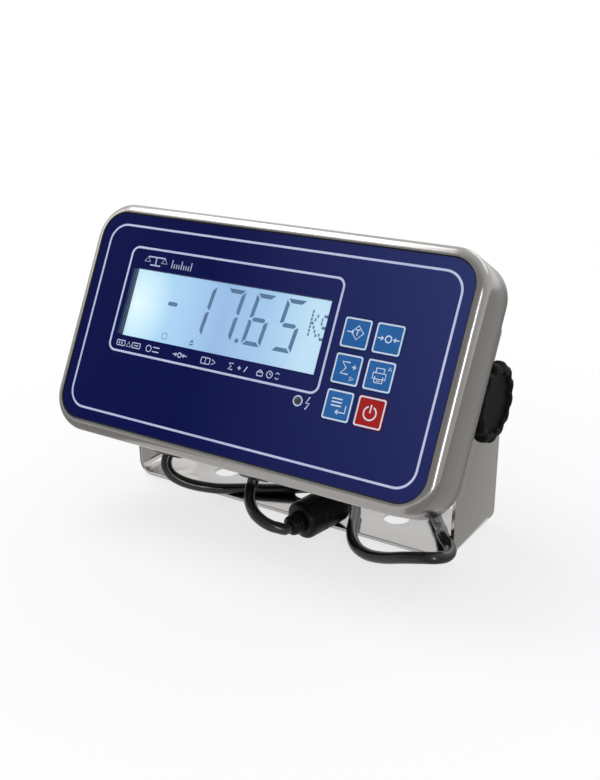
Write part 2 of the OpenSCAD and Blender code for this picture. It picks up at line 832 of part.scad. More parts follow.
module charge_led() {
    legs = board_at - led_sunk - led_len - led_flange_t;
    color("white") face_place(led_sunk) translate([led_right, -led_below, 0]) {
        translate([0, 0, -led_len]) cylinder(h = led_len, d = led_d);
        translate([0, 0, -led_len - led_flange_t]) cylinder(h = led_flange_t, d = led_flange_d);
        for (s = [-1, 1]) translate([s * led_leg_pitch / 2, 0, -led_len - led_flange_t - legs])
            cylinder(h = legs, d = led_leg_d);
    }
}

// Display
module display_block(w, h, depth, t) {
    face_place(depth + t) translate([window_x, window_up, t / 2]) cube([w, h, t], center = true);
}

module lcd_glass() {
    color("lightcyan") display_block(glass_w, glass_h, glass_at, glass_t);
}

module lcd_backlight() {
    color("white") face_place(light_back_at) translate([window_x, window_up - light_short / 2, light_t / 2])
        cube([glass_w, glass_h - light_short, light_t], center = true);
}

strip_y = glass_h / 2 - strip_t / 2 - fit_gap;

module lcd_frame() {
    frame_t = board_at - panel_back_at;
    color("whitesmoke") difference() {
        display_block(glass_w + 2 * frame_wall, glass_h + 2 * frame_wall, panel_back_at, frame_t);
        display_block(glass_w + 2 * fit_gap, glass_h + 2 * fit_gap, panel_back_at - overrun,
            light_back_at - panel_back_at + overrun);
        display_block(glass_w - 2 * frame_lip, glass_h - 2 * frame_lip, panel_back_at, frame_t + overrun);
        face_place(board_at + overrun) translate([window_x, window_up + strip_y, 0])
            linear_extrude(frame_t) square([strip_w + 2 * fit_gap, strip_t + 2 * fit_gap], center = true);
    }
}

module lcd_strip() {
    color("gray") face_place(board_at) translate([window_x, window_up + strip_y, 0])
        linear_extrude(board_at - light_at) square([strip_w, strip_t], center = true);
}

// Circuit board
module board_corner_places() {
    for (sx = [-1, 1], sy = [-1, 1]) translate([sx * (board_w / 2 - board_inset), sy * (board_h / 2 - board_inset), 0])
        children();
}

module main_board() {
    color("darkgreen") face_place(board_back_at) linear_extrude(board_t) difference() {
        square([board_w, board_h], center = true);
        board_corner_places() circle(d = board_screw_d + 2 * screw_gap);
    }
}

module board_standoffs() {
    color("silver") face_place(board_at) board_corner_places() difference() {
        cylinder(h = standoff_h, d = standoff_d);
        translate([0, 0, -overrun]) cylinder(h = board_screw_len, d = board_screw_d + 2 * screw_gap);
    }
}

module board_screws() {
    shaft = board_screw_len - overrun - fit_gap + board_t;
    color("gainsboro") rear_place(board_back_at) board_corner_places() {
        cylinder(h = board_screw_head_t, d = board_screw_head_d);
        translate([0, 0, -shaft]) cylinder(h = shaft, d = board_screw_d);
    }
}

// Drawn from the board's back, upside up: x to the right, y up
module on_board_back(share) {
    face_place(board_back_at) translate([share.x * board_w, share.y * board_h, 0]) mirror([0, 0, 1]) children();
}

module board_chips() {
    color("black") for (i = [0:len(chip_place_share) - 1]) on_board_back(chip_place_share[i])
        linear_extrude(chip_t) square(chip_w * chip_size_share[i], center = true);
}

module board_capacitors() {
    color("darkslateblue") for (share = capacitor_place_share) on_board_back(share)
        cylinder(h = capacitor_h, d = capacitor_d);
}

module buzzer() {
    color("black") on_board_back(buzzer_place_share) difference() {
        cylinder(h = buzzer_h, d = buzzer_d);
        translate([0, 0, buzzer_h / 2]) cylinder(h = buzzer_h, d = buzzer_hole_d);
    }
}

module board_headers() {
    color("ivory") for (x = [power_gland_x, signal_gland_x, battery_header_x])
        face_place(board_back_at) translate([x, -header_below, -header_t])
            linear_extrude(header_t) square([header_w, header_h], center = true);
}

// Battery, drawn with its middle at x = 0 and its back near the box's back wall
module battery_block(len, deep, h, y, z) {
    head_place() translate([-len / 2, y, z]) cube([len, deep, h]);
}

battery_front = battery_back - battery_t;
battery_bottom = battery_top - battery_h;

module battery() {
    color("darkslategray") battery_block(battery_len, battery_t, battery_h, battery_front, battery_bottom);
}

terminal_heights = [battery_top - terminal_up, battery_bottom + terminal_down];
terminal_y = battery_front + battery_t / 2;

module battery_terminals() {
    color("gold") head_place() for (z = terminal_heights)
        translate([battery_len / 2, terminal_y - terminal_w / 2, z - terminal_t / 2])
            cube([terminal_len, terminal_w, terminal_t]);
}

module battery_tray() {
    wide = battery_len + 2 * tray_side;
    floor_z = battery_bottom - tray_t;
    color("silver") union() {
        battery_block(wide, battery_t + battery_gap, tray_t, battery_front, floor_z);
        battery_block(wide, tray_t, tray_leg, battery_back + battery_gap - tray_t, floor_z - tray_leg);
    }
}

module battery_strap() {
    around = battery_len + 2 * battery_gap;
    deep = battery_t + 2 * battery_gap;
    low = battery_bottom + battery_h / 2 - strap_low;
    color("gainsboro") difference() {
        battery_block(around + 2 * tray_t, deep + tray_t, strap_h, battery_front - battery_gap - tray_t, low);
        battery_block(around, deep + overrun, strap_h + 2 * overrun, battery_front - battery_gap, low - overrun);
    }
}

// Wires from the battery's terminals to their header on the board
function wire_route(i) =
    let (
        from = [battery_len / 2 + terminal_len, terminal_y, terminal_heights[i]],
        to = [battery_header_x + (i - 0.5) * wire_apart, header_back, header_z],
        out = [battery_header_x - from.x, 0, 0],
        middle = (from + out + to) / 2
    ) [from, from + out / 4, from + out * 2 / 3, middle + (from - to) / 4, middle, to + [0, header_t, 0], to];

module battery_wires() {
    color("firebrick") head_place() for (i = [0:1]) tube(wire_route(i), wire_d, wire_sides, [0, 1, 0]);
}

// The leads inside the head, from the ends of the glands to their headers
function inner_route(x) =
    let (low = [x, gland_y, gland_end], turn = [x, gland_y, header_z], far = [x, header_back, header_z]) [
        low, turn - [0, 0, 1.9 * cord_d], turn - [0, 0, cord_d], turn - [0, 0.3 * cord_d, 0.35 * cord_d],
        turn - [0, cord_d, 0], turn - [0, 1.9 * cord_d, 0], far
    ];

module inner_leads() {
    color("black") head_place() for (x = [power_gland_x, signal_gland_x])
        tube(inner_route(x), cord_d, cord_sides, [0, 1, 0]);
}

// Signal lead and its in-line connector
module signal_lead() {
    color("black") tube(signal_route, cord_d, cord_sides, [0, 1, 0]);
}

// Drawn along +Z from the front end of the connector
module connector_place() {
    translate(connector_front) rotate([0, 0, -connector_turn]) rotate([connector_rise, 0, 0]) rotate([-90, 0, 0])
        children();
}

connector_bore_d = connector_d - 2 * connector_wall;

module connector_shell() {
    color("black") connector_place() difference() {
        translate([0, 0, connector_len]) rotate([180, 0, 0]) rotate_extrude() translate([0, connector_len])
            pan_solid(connector_d / 2, connector_edge_r, connector_len);
        translate([0, 0, connector_len - connector_mouth - connector_insert_t])
            cylinder(h = connector_mouth + connector_insert_t + overrun, d = connector_bore_d);
        translate([0, 0, -overrun]) cylinder(h = connector_len, d = cord_d + 2 * cord_gap);
    }
}

module connector_nut() {
    color("black") connector_place() difference() {
        union() {
            translate([0, 0, connector_nut_taper - connector_nut_len])
                cylinder(h = connector_nut_len - connector_nut_taper, d = connector_nut_d);
            translate([0, 0, -connector_nut_len])
                cylinder(h = connector_nut_taper, d1 = connector_nut_tip_d, d2 = connector_nut_d);
        }
        translate([0, 0, connector_wall - connector_nut_len])
            cylinder(h = connector_nut_len, d = cord_d + 2 * cord_gap);
    }
}

module contact_places() {
    for (i = [0:contact_count - 1]) rotate([0, 0, 360 * i / contact_count]) translate([contact_circle_d / 2, 0, 0])
        children();
}

insert_at = connector_len - connector_mouth - connector_insert_t;

module connector_insert() {
    color("dimgray") connector_place() difference() {
        translate([0, 0, insert_at]) cylinder(h = connector_insert_t, d = connector_bore_d - 2 * running_gap);
        contact_places() translate([0, 0, insert_at + contact_sunk])
            cylinder(h = connector_insert_t, d = contact_d + 2 * running_gap);
    }
}

module connector_pins() {
    color("gold") connector_place() contact_places() translate([0, 0, insert_at + contact_sunk])
        cylinder(h = connector_insert_t - 2 * contact_sunk, d = contact_d);
}

// Power lead, its coil and its plug
module power_lead() {
    color("black") tube(power_route, cord_d, cord_sides, [0, 1, 0]);
}

module power_lead_coil() {
    color("black") tube(coil_route, cord_d, coil_sides, [0, 0, 1]);
}

module power_lead_tail() {
    color("black") tube(tail_route, cord_d, cord_sides, [0, 0, 1]);
}

// The tie holds the turns together on the left of the coil
module coil_tie() {
    high = coil_layer + cord_d + 2 * tie_gap;
    inner_r = coil_r(coil_in_end) - cord_r - tie_gap;
    outer_r = coil_r(180) + cord_r + tie_gap;
    color("black") translate([coil_middle.x - outer_r, coil_middle.y - tie_w / 2, tie_t]) difference() {
        translate([-tie_t, 0, -tie_t]) cube([outer_r - inner_r + 2 * tie_t, tie_w, high + 2 * tie_t]);
        translate([0, -overrun, 0]) cube([outer_r - inner_r, tie_w + 2 * overrun, high]);
    }
}

// Drawn along +Z from the end of the lead, and laid with +Z to the left
module plug_place() {
    translate(plug_start) rotate([0, -90, 0]) children();
}

module power_plug() {
    color("black") plug_place() difference() {
        union() {
            cylinder(h = plug_relief_len, d1 = plug_relief_d, d2 = plug_neck_d);
            translate([0, 0, plug_relief_len]) rotate_extrude() translate([0, plug_body_len])
                pan_solid(plug_body_d / 2, plug_edge_r, plug_body_len);
        }
        translate([0, 0, plug_relief_len + plug_body_len - plug_tip_sunk])
            cylinder(h = plug_tip_sunk + overrun, d = plug_tip_d + 2 * running_gap);
    }
}

module plug_tip() {
    color("silver") plug_place() translate([0, 0, plug_relief_len + plug_body_len - plug_tip_sunk]) difference() {
        cylinder(h = plug_tip_sunk + plug_tip_len, d = plug_tip_d);
        translate([0, 0, plug_tip_sunk]) cylinder(h = plug_tip_len + overrun, d = plug_tip_bore_d);
    }
}

bracket();
arm_washers();
left_knob();
left_knob_stud();
right_knob();
right_knob_stud();
front_shell();
rear_case();
rear_gasket();
cover_screws();
cover_nuts();
pivot_nuts();
friction_washers();
gland_bodies();
gland_locknuts();
gland_seals();
gland_nuts();
face_overlay();
keypad_spacer();
keypad_circuit();
snap_domes();
keypad_tail();
keypad_socket();
key_tare();
key_zero();
key_sum();
key_print();
key_menu();
key_power();
display_window();
charge_led();
lcd_glass();
lcd_backlight();
lcd_frame();
lcd_strip();
main_board();
board_standoffs();
board_screws();
board_chips();
board_capacitors();
buzzer();
board_headers();
battery();
battery_terminals();
battery_tray();
battery_strap();
battery_wires();
inner_leads();
signal_lead();
connector_nut();
connector_shell();
connector_insert();
connector_pins();
power_lead();
power_lead_coil();
power_lead_tail();
coil_tie();
power_plug();
plug_tip();
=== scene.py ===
"""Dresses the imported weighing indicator: metalwork, printed face, lit display, hand knobs and leads."""
import json
import math
from contextlib import contextmanager

import bmesh
import bpy
from mathutils import Matrix, Vector


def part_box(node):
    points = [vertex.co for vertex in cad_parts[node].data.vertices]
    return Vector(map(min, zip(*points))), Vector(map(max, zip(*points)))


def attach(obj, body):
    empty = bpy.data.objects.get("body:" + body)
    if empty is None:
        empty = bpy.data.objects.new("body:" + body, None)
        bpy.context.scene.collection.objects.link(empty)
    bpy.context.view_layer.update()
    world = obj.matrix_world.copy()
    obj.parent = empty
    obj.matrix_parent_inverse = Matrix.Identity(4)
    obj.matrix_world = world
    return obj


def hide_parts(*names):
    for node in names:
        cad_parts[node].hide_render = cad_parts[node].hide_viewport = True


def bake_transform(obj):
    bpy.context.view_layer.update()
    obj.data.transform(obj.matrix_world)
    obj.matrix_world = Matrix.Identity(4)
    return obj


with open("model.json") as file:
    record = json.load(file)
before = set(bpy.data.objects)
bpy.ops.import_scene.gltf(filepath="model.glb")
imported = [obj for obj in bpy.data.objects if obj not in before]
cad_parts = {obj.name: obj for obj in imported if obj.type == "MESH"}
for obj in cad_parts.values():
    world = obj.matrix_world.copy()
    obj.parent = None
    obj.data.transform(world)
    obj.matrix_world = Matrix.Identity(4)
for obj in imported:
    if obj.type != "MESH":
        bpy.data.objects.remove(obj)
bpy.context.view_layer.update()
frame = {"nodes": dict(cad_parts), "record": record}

bl_info = {
    "name": "Weighing indicator",
    "version": (1, 0, 0),
    "blender": (4, 5, 0),
    "location": "3D View > Sidebar > Indicator",
    "description": "Builds the visible pieces of a weighing indicator round its packed CAD model",
    "category": "Object",
}

MM = 0.001
# The head turns about this line, and leans back by this angle at rest
PIVOT = Vector((0, 0, 0.077))
TILT = math.radians(28.25)
# The face's middle from the pivot, in millimetres
FACE_AHEAD = 57.5
FACE_BELOW = 1.8
FACE_U = Vector((1, 0, 0))
FACE_V = Vector((0, math.sin(TILT), math.cos(TILT)))
FACE_N = Vector((0, -math.cos(TILT), math.sin(TILT)))
# From millimetres on the face (right, up, towards the viewer) to metres in the model's frame
FACE = (
    Matrix.Translation(PIVOT + (FACE_N * FACE_AHEAD - FACE_V * FACE_BELOW) * MM)
    @ Matrix((FACE_U, FACE_V, FACE_N)).transposed().to_4x4()
    @ Matrix.Scale(MM, 4)
)

KEYS = ("key_tare", "key_zero", "key_sum", "key_print", "key_menu", "key_power")

# Points of a copied CAD mesh closer than this are one, in metres, and faces flatter than this are joined
SAME_POINT = 2e-6
SAME_PLANE = math.radians(0.6)


# Mesh helpers


def select_only(obj):
    if bpy.context.object and bpy.context.object.mode != "OBJECT":
        bpy.ops.object.mode_set(mode="OBJECT")
    bpy.ops.object.select_all(action="DESELECT")
    obj.select_set(True)
    bpy.context.view_layer.objects.active = obj


@contextmanager
def editing(obj):
    """Edit mode on one object, with the whole mesh selected at first."""
    select_only(obj)
    bpy.ops.object.mode_set(mode="EDIT")
    bpy.ops.mesh.select_all(action="SELECT")
    yield
    bpy.ops.object.mode_set(mode="OBJECT")


def rename(obj, name):
    obj.name = obj.data.name = name


def place_mesh(obj, matrix):
    """Puts a piece in its place through its mesh, and leaves its object at the origin."""
    obj.data.transform(matrix @ obj.matrix_world)
    obj.matrix_world = Matrix.Identity(4)


def smooth(obj, angle=35):
    select_only(obj)
    bpy.ops.object.shade_smooth_by_angle(angle=math.radians(angle))


def apply_bevel(obj, width, segments=2, angle=40):
    """Softens the edges sharper than the angle in degrees, by a width in millimetres."""
    select_only(obj)
    m = obj.modifiers.new("Edges", "BEVEL")
    m.width = width * MM
    m.segments = segments
    m.limit_method = "ANGLE"
    m.angle_limit = math.radians(angle)
    m.use_clamp_overlap = True
    bpy.ops.object.modifier_apply(modifier=m.name)


def finish_piece(obj, material, body, nodes=()):
    obj.data.materials.clear()
    obj.data.materials.append(bpy.data.materials[material])
    if nodes:
        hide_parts(*nodes)
    if body:
        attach(obj, body)
    return obj


def dressed_copy(node, name, material, body, slot, bevel=0.0, segments=2):
    """A merged copy of a CAD node's mesh with softened edges and smooth roundings."""
    source = frame["nodes"][node]
    obj = source.copy()
    obj.data = source.data.copy()
    for key in list(obj.keys()):
        del obj[key]
    rename(obj, name)
    obj.parent = None
    obj.matrix_world = Matrix.Identity(4)
    obj.hide_render = obj.hide_viewport = False
    bpy.context.collection.objects.link(obj)
    with editing(obj):
        bpy.ops.mesh.customdata_custom_splitnormals_clear()
        bpy.ops.mesh.remove_doubles(threshold=SAME_POINT)
        bpy.ops.mesh.dissolve_limited(angle_limit=SAME_PLANE)
    if bevel:
        apply_bevel(obj, bevel, segments)
    smooth(obj)
    return finish_piece(obj, material, body, [node])


def turned(name, rings, verts=64, outline=None):
    """Turns a profile round Z: rings are (height, radius) in millimetres, extruded one after the other."""
    bpy.ops.object.select_all(action="DESELECT")
    bpy.ops.mesh.primitive_circle_add(
        vertices=verts, radius=MM, fill_type="NGON", location=(0, 0, rings[0][0] * MM))
    obj = bpy.context.object
    rename(obj, name)
    bpy.ops.object.transform_apply(location=True, rotation=True, scale=True)
    with editing(obj):
        if outline:
            outline(obj)
            bpy.ops.mesh.select_all(action="SELECT")
        widen(rings[0][1])
        for (h0, r0), (h1, r1) in zip(rings, rings[1:]):
            bpy.ops.mesh.extrude_region_move(TRANSFORM_OT_translate={"value": (0, 0, (h1 - h0) * MM)})
            widen(r1 / r0)
        bpy.ops.mesh.select_all(action="SELECT")
        bpy.ops.mesh.normals_make_consistent(inside=False)
    return obj


def widen(factor):
    """Scales what is selected away from the Z axis."""
    bpy.ops.transform.resize(value=(factor, factor, 1), center_override=(0, 0, 0))


def along(point, direction):
    """The place of a piece turned round Z that starts at a point in millimetres and runs that way."""
    z = Vector(direction).normalized()
    x = Vector((0, 0, 1)).cross(z).normalized()
    return Matrix.Translation(Vector(point) * MM) @ Matrix((x, z.cross(x), z)).transposed().to_4x4()


def arc(cx, cy, r, a0, a1, steps=12):
    angles = [math.radians(a0 + (a1 - a0) * i / steps) for i in range(steps + 1)]
    return [(cx + r * math.cos(a), cy + r * math.sin(a)) for a in angles]


def circle(cx, cy, r, steps):
    return arc(cx, cy, r, 0, 360, steps)[:-1]


def rounded(u0, u1, v0, v1, r, steps=8):
    """A rectangle with round corners, drawn from its upper right corner."""
    corners = ((u1 - r, v1 - r), (u0 + r, v1 - r), (u0 + r, v0 + r), (u1 - r, v0 + r))
    return [q for i, (u, v) in enumerate(corners) for q in arc(u, v, r, 90 * i, 90 * i + 90, steps)]


def curve_mesh(name, lines, matrix, merge=1e-4, **settings):
    """A mesh from lines (points, radius, closed), swept or filled as the curve's settings say."""
    curve = bpy.data.curves.new(name, "CURVE")
    for key, value in settings.items():
        setattr(curve, key, value)
    for points, radius, closed in lines:
        spline = curve.splines.new("POLY")
        spline.points.add(len(points) - 1)
        for p, q in zip(spline.points, points):
            p.co = (*Vector(q).to_3d(), 1)
            p.radius = radius
        spline.use_cyclic_u = closed
    obj = bpy.data.objects.new(name, curve)
    bpy.context.collection.objects.link(obj)
    select_only(obj)
    bpy.ops.object.convert(target="MESH")
    obj = bpy.context.object
    rename(obj, name)
    with editing(obj):
        bpy.ops.mesh.remove_doubles(threshold=merge)
        bpy.ops.mesh.normals_make_consistent(inside=False)
    place_mesh(obj, matrix)
    return obj


def print_strokes(name, strokes, material, height, body="head", matrix=FACE, round_off=True):
    """Raised printed lines: each stroke is (points, width, closed), in millimetres on the face."""
    flat = Matrix.Diagonal((1, 1, 2 * height / strokes[0][1], 1))
    lines = [(points, width / 2, closed) for points, width, closed in strokes]
    obj = curve_mesh(name, lines, matrix @ flat, dimensions="3D", bevel_depth=1.0, bevel_resolution=2,
                     use_fill_caps=True)
    if round_off:
        smooth(obj, 60)
    finish_piece(obj, material, body)


def print_fills(name, outlines, material, height, body="head", matrix=FACE):
    """A piece of filled printed shapes; an outline inside another is a hole in it."""
    lines = [(points, 1.0, True) for points in outlines]
    obj = curve_mesh(name, lines, matrix, dimensions="2D", fill_mode="BOTH", extrude=height)
    finish_piece(obj, material, body)


def join(name, parts):
    select_only(parts[0])
    for p in parts[1:]:
        p.select_set(True)
    bpy.ops.object.join()
    obj = bpy.context.object
    rename(obj, name)
    return obj


# Node groups and materials


def feed(tree, socket, value):
    """Links an output to a socket, or sets the socket's own value."""
    if isinstance(value, bpy.types.NodeSocket):
        tree.links.new(value, socket)
    else:
        socket.default_value = (*value, 1) if socket.type == "RGBA" else value


def node(tree, kind, inputs=None, **values):
    """A node with its settings and with what its inputs get; it stands right of the nodes before it."""
    column, row = divmod(len(tree.nodes), 3)
    n = tree.nodes.new(kind)
    n.location = (column * 240, row * -320)
    for k, v in values.items():
        setattr(n, k, v)
    for k, v in (inputs or {}).items():
        feed(tree, n.inputs[k], v)
    return n


def maths(tree, operation, a, b, clamp=False):
    n = node(tree, "ShaderNodeMath", {0: a, 1: b}, operation=operation, use_clamp=clamp)
    return n.outputs[0]


def empty_tree(data):
    data.use_nodes = True
    data.node_tree.nodes.clear()
    return data.node_tree


def new_material(name):
    return empty_tree(bpy.data.materials.new(name))


def start_group(name, inputs):
    """A new node group: its tree, its inputs' outputs, and places on the object."""
    g = bpy.data.node_groups.new(name, "ShaderNodeTree")
    for key, default in inputs.items():
        kind = "NodeSocketVector" if isinstance(default, tuple) else "NodeSocketFloat"
        g.interface.new_socket(key, in_out="INPUT", socket_type=kind).default_value = default
    place = node(g, "ShaderNodeTexCoord").outputs["Object"]
    return g, node(g, "NodeGroupInput").outputs, place


def end_group(g, results):
    for key in results:
        g.interface.new_socket(key, in_out="OUTPUT", socket_type="NodeSocketFloat")
    node(g, "NodeGroupOutput", results)


def build_groups():
    """The surface effects that several finishes share."""
    g, given, place = start_group("Stretched grain", {
        "Scale": 400.0, "Stretch": (1, 1, 1), "Blotch Scale": 12.0})
    streak = node(g, "ShaderNodeVectorMath", {0: place, 1: given["Stretch"]}, operation="MULTIPLY")
    fine = node(g, "ShaderNodeTexNoise", {
        "Vector": streak.outputs[0], "Scale": given["Scale"], "Detail": 3, "Roughness": 0.6})
    broad = node(g, "ShaderNodeTexNoise", {"Vector": place, "Scale": given["Blotch Scale"], "Detail": 2})
    end_group(g, {"Grain": fine.outputs["Fac"], "Blotch": broad.outputs["Fac"]})

    g, given, place = start_group("Moulded grain", {"Scale": 2500.0, "Blotch Scale": 30.0})
    cells = node(g, "ShaderNodeTexVoronoi", {"Vector": place, "Scale": given["Scale"]}, feature="SMOOTH_F1")
    broad = node(g, "ShaderNodeTexNoise", {"Vector": place, "Scale": given["Blotch Scale"]})
    end_group(g, {"Grain": cells.outputs["Distance"], "Blotch": broad.outputs["Fac"]})

    g, given, place = start_group("Dust and smears", {"Scale": 45.0, "Amount": 0.5})
    cloud = node(g, "ShaderNodeTexNoise", {
        "Vector": place, "Scale": given["Scale"], "Detail": 6, "Distortion": 0.6})
    peaks = remap(g, cloud.outputs["Fac"], 0, 1, 0.48, 0.75)
    end_group(g, {"Mask": maths(g, "MULTIPLY", peaks, given["Amount"])})


def surface(t, inputs, grain=None, strength=0.0, depth=0.0):
    """The Principled surface of a material, with a bump from its grain, as deep as this in millimetres."""
    if grain:
        relief = {"Height": grain, "Strength": strength, "Distance": depth * MM}
        inputs["Normal"] = node(t, "ShaderNodeBump", relief).outputs["Normal"]
    bsdf = node(t, "ShaderNodeBsdfPrincipled", inputs)
    node(t, "ShaderNodeOutputMaterial", {"Surface": bsdf.outputs[0]})


def mix_colour(t, factor, a, b):
    return node(t, "ShaderNodeMix", {0: factor, 6: a, 7: b}, data_type="RGBA").outputs[2]


def remap(t, value, low, high, from_min=0.3, from_max=0.7):
    """Spreads a value from one range over another; noise keeps mostly to 0.3 to 0.7."""
    limits = {"Value": value, "From Min": from_min, "From Max": from_max, "To Min": low, "To Max": high}
    return node(t, "ShaderNodeMapRange", limits).outputs["Result"]


def effect(t, name, inputs):
    """The outputs of one of the shared node groups."""
    return node(t, "ShaderNodeGroup", inputs, node_tree=bpy.data.node_groups[name]).outputs


def position(t, coordinates="Object"):
    """The outputs X, Y and Z of the place that is shaded."""
    place = node(t, "ShaderNodeTexCoord").outputs[coordinates]
    return node(t, "ShaderNodeSeparateXYZ", {0: place}).outputs


GRAIN_IN_COLOUR = 0.45
SMEARS_IN_ROUGHNESS = 0.3
# The depth of the grain in millimetres
METAL_RELIEF = 0.012
PLASTIC_RELIEF = 0.04
FILM_RELIEF = 0.01
# Dust is a plastic's light colour times the first, plus the second
DUST_COLOUR = (0.75, 0.12)


def metal(name, dark, light, rough, scale=500.0, stretch=(1, 1, 1), strength=0.15, smears=0.25):
    """Ground or brushed metal: fine streaks in its roughness and bump, broad changes in its colour."""
    t = new_material(name)
    g = effect(t, "Stretched grain", {"Scale": scale, "Stretch": stretch, "Blotch Scale": 14.0})
    d = effect(t, "Dust and smears", {"Amount": smears})
    fine = maths(t, "MULTIPLY", g["Grain"], GRAIN_IN_COLOUR)
    broad = maths(t, "MULTIPLY", g["Blotch"], 1 - GRAIN_IN_COLOUR)
    share = remap(t, maths(t, "ADD", fine, broad, clamp=True), 0, 1)
    smear = maths(t, "MULTIPLY", d["Mask"], SMEARS_IN_ROUGHNESS)
    uneven = maths(t, "ADD", remap(t, g["Grain"], *rough), smear, clamp=True)
    surface(t, {"Base Color": mix_colour(t, share, dark, light), "Roughness": uneven, "Metallic": 1.0},
            g["Grain"], strength, METAL_RELIEF)


def plastic(name, dark, light, rough, scale=2600.0, strength=0.1, specular=0.5, blotch=35.0, dust=0.0):
    """Moulded or coated plastic, with a fine grain, uneven gloss and a trace of dust."""
    t = new_material(name)
    g = effect(t, "Moulded grain", {"Scale": scale, "Blotch Scale": blotch})
    d = effect(t, "Dust and smears", {"Amount": dust})
    base = mix_colour(t, remap(t, g["Blotch"], 0, 1), dark, light)
    pale = tuple(DUST_COLOUR[0] * c + DUST_COLOUR[1] for c in light)
    gloss = remap(t, g["Blotch"], *rough)
    surface(t, {"Base Color": mix_colour(t, d["Mask"], base, pale), "Roughness": gloss,
                "Specular IOR Level": specular}, g["Grain"], strength, PLASTIC_RELIEF)


# Painted sheen: the film's colour gets paler from its left to its right end, and from its lower to its upper
# edge, in metres
FILM_PAINTED_SHEEN_X = (-0.03, 0.105)
FILM_PAINTED_SHEEN_Z = (0.055, 0.15)
# How much paler the painted sheen makes the right end at its foot, and how much more at its top
PAINTED_SHEEN_RIGHT = 0.55
PAINTED_SHEEN_TOP = 0.45


def overlay_material(dark, light):
    """Printed polyester film: navy, with a painted sheen that makes it paler towards the top right, and a
    soft gloss.
    """
    t = new_material("Face film")
    place = position(t)
    # Painted sheen: the colour is mixed towards the pale one to the right and to the top
    right = remap(t, place["X"], 0, 1, *FILM_PAINTED_SHEEN_X)
    top = remap(t, place["Z"], 0, PAINTED_SHEEN_TOP, *FILM_PAINTED_SHEEN_Z)
    corner = maths(t, "MULTIPLY", right, top)
    pale = maths(t, "ADD", corner, maths(t, "MULTIPLY", right, PAINTED_SHEEN_RIGHT), clamp=True)
    g = effect(t, "Moulded grain", {"Scale": 1300.0})
    gloss = remap(t, g["Blotch"], 0.24, 0.3, 0, 1)
    surface(t, {"Base Color": mix_colour(t, pale, dark, light), "Roughness": gloss,
                "Specular IOR Level": 0.1}, g["Grain"], 0.03, FILM_RELIEF)


# The display cell lies this far below the face, in millimetres
DISPLAY_LEVEL = -2.3
# Its lamp's glow: its middle in millimetres on the face, and how far it reaches in metres
GLOW_AT = (-74, 10, DISPLAY_LEVEL)
GLOW_REACH = (0.022, 0.026, 0.026)
GLOW_TINT = (0.8, 1.0, 1.0)
# The display's tint from its left end to its right end, first and last stop first
DISPLAY_X = (-0.08, 0.04)
DISPLAY_TINTS = (
    (0.05, (0.43, 0.75, 0.96, 1)), (0.92, (0.5, 0.74, 0.9, 1)), (0.28, (0.36, 0.62, 0.88, 1)),
    (0.5, (0.26, 0.45, 0.75, 1)), (0.72, (0.33, 0.56, 0.82, 1)),
)


def lcd_material():
    """The lit display cell: pale blue, darker in its middle, nearly white by its lamp at the left."""
    t = new_material("Lit display")
    across = remap(t, position(t)["X"], 0, 1, *DISPLAY_X)
    field = node(t, "ShaderNodeValToRGB", {0: across})
    stops = field.color_ramp.elements
    for stop, (at, tint) in zip(list(stops), DISPLAY_TINTS):
        stop.position, stop.color = at, tint
    for at, tint in DISPLAY_TINTS[2:]:
        stops.new(at).color = tint
    place = node(t, "ShaderNodeTexCoord").outputs["Object"]
    reach = {"Vector": place, "Location": FACE @ Vector(GLOW_AT), "Scale": GLOW_REACH}
    glow = node(t, "ShaderNodeMapping", reach, vector_type="TEXTURE")
    ball = node(t, "ShaderNodeTexGradient", {"Vector": glow.outputs[0]}, gradient_type="SPHERICAL")
    colour = mix_colour(t, ball.outputs["Fac"], field.outputs["Color"], GLOW_TINT)
    g = effect(t, "Moulded grain", {"Scale": 1800.0})
    surface(t, {"Base Color": (0.01, 0.015, 0.03), "Roughness": remap(t, g["Grain"], 0.1, 0.2),
                "Emission Color": colour, "Emission Strength": 1.0})


def window_material():
    """The display's clear window: nearly nothing but its reflections and a few smears."""
    t = new_material("Clear window")
    mask = effect(t, "Dust and smears", {"Amount": 0.5})["Mask"]
    surface(t, {"Base Color": (0.75, 0.88, 1.0), "Roughness": remap(t, mask, 0.03, 0.12, 0, 1),
                "Alpha": remap(t, mask, 0.07, 0.12, 0, 1)})


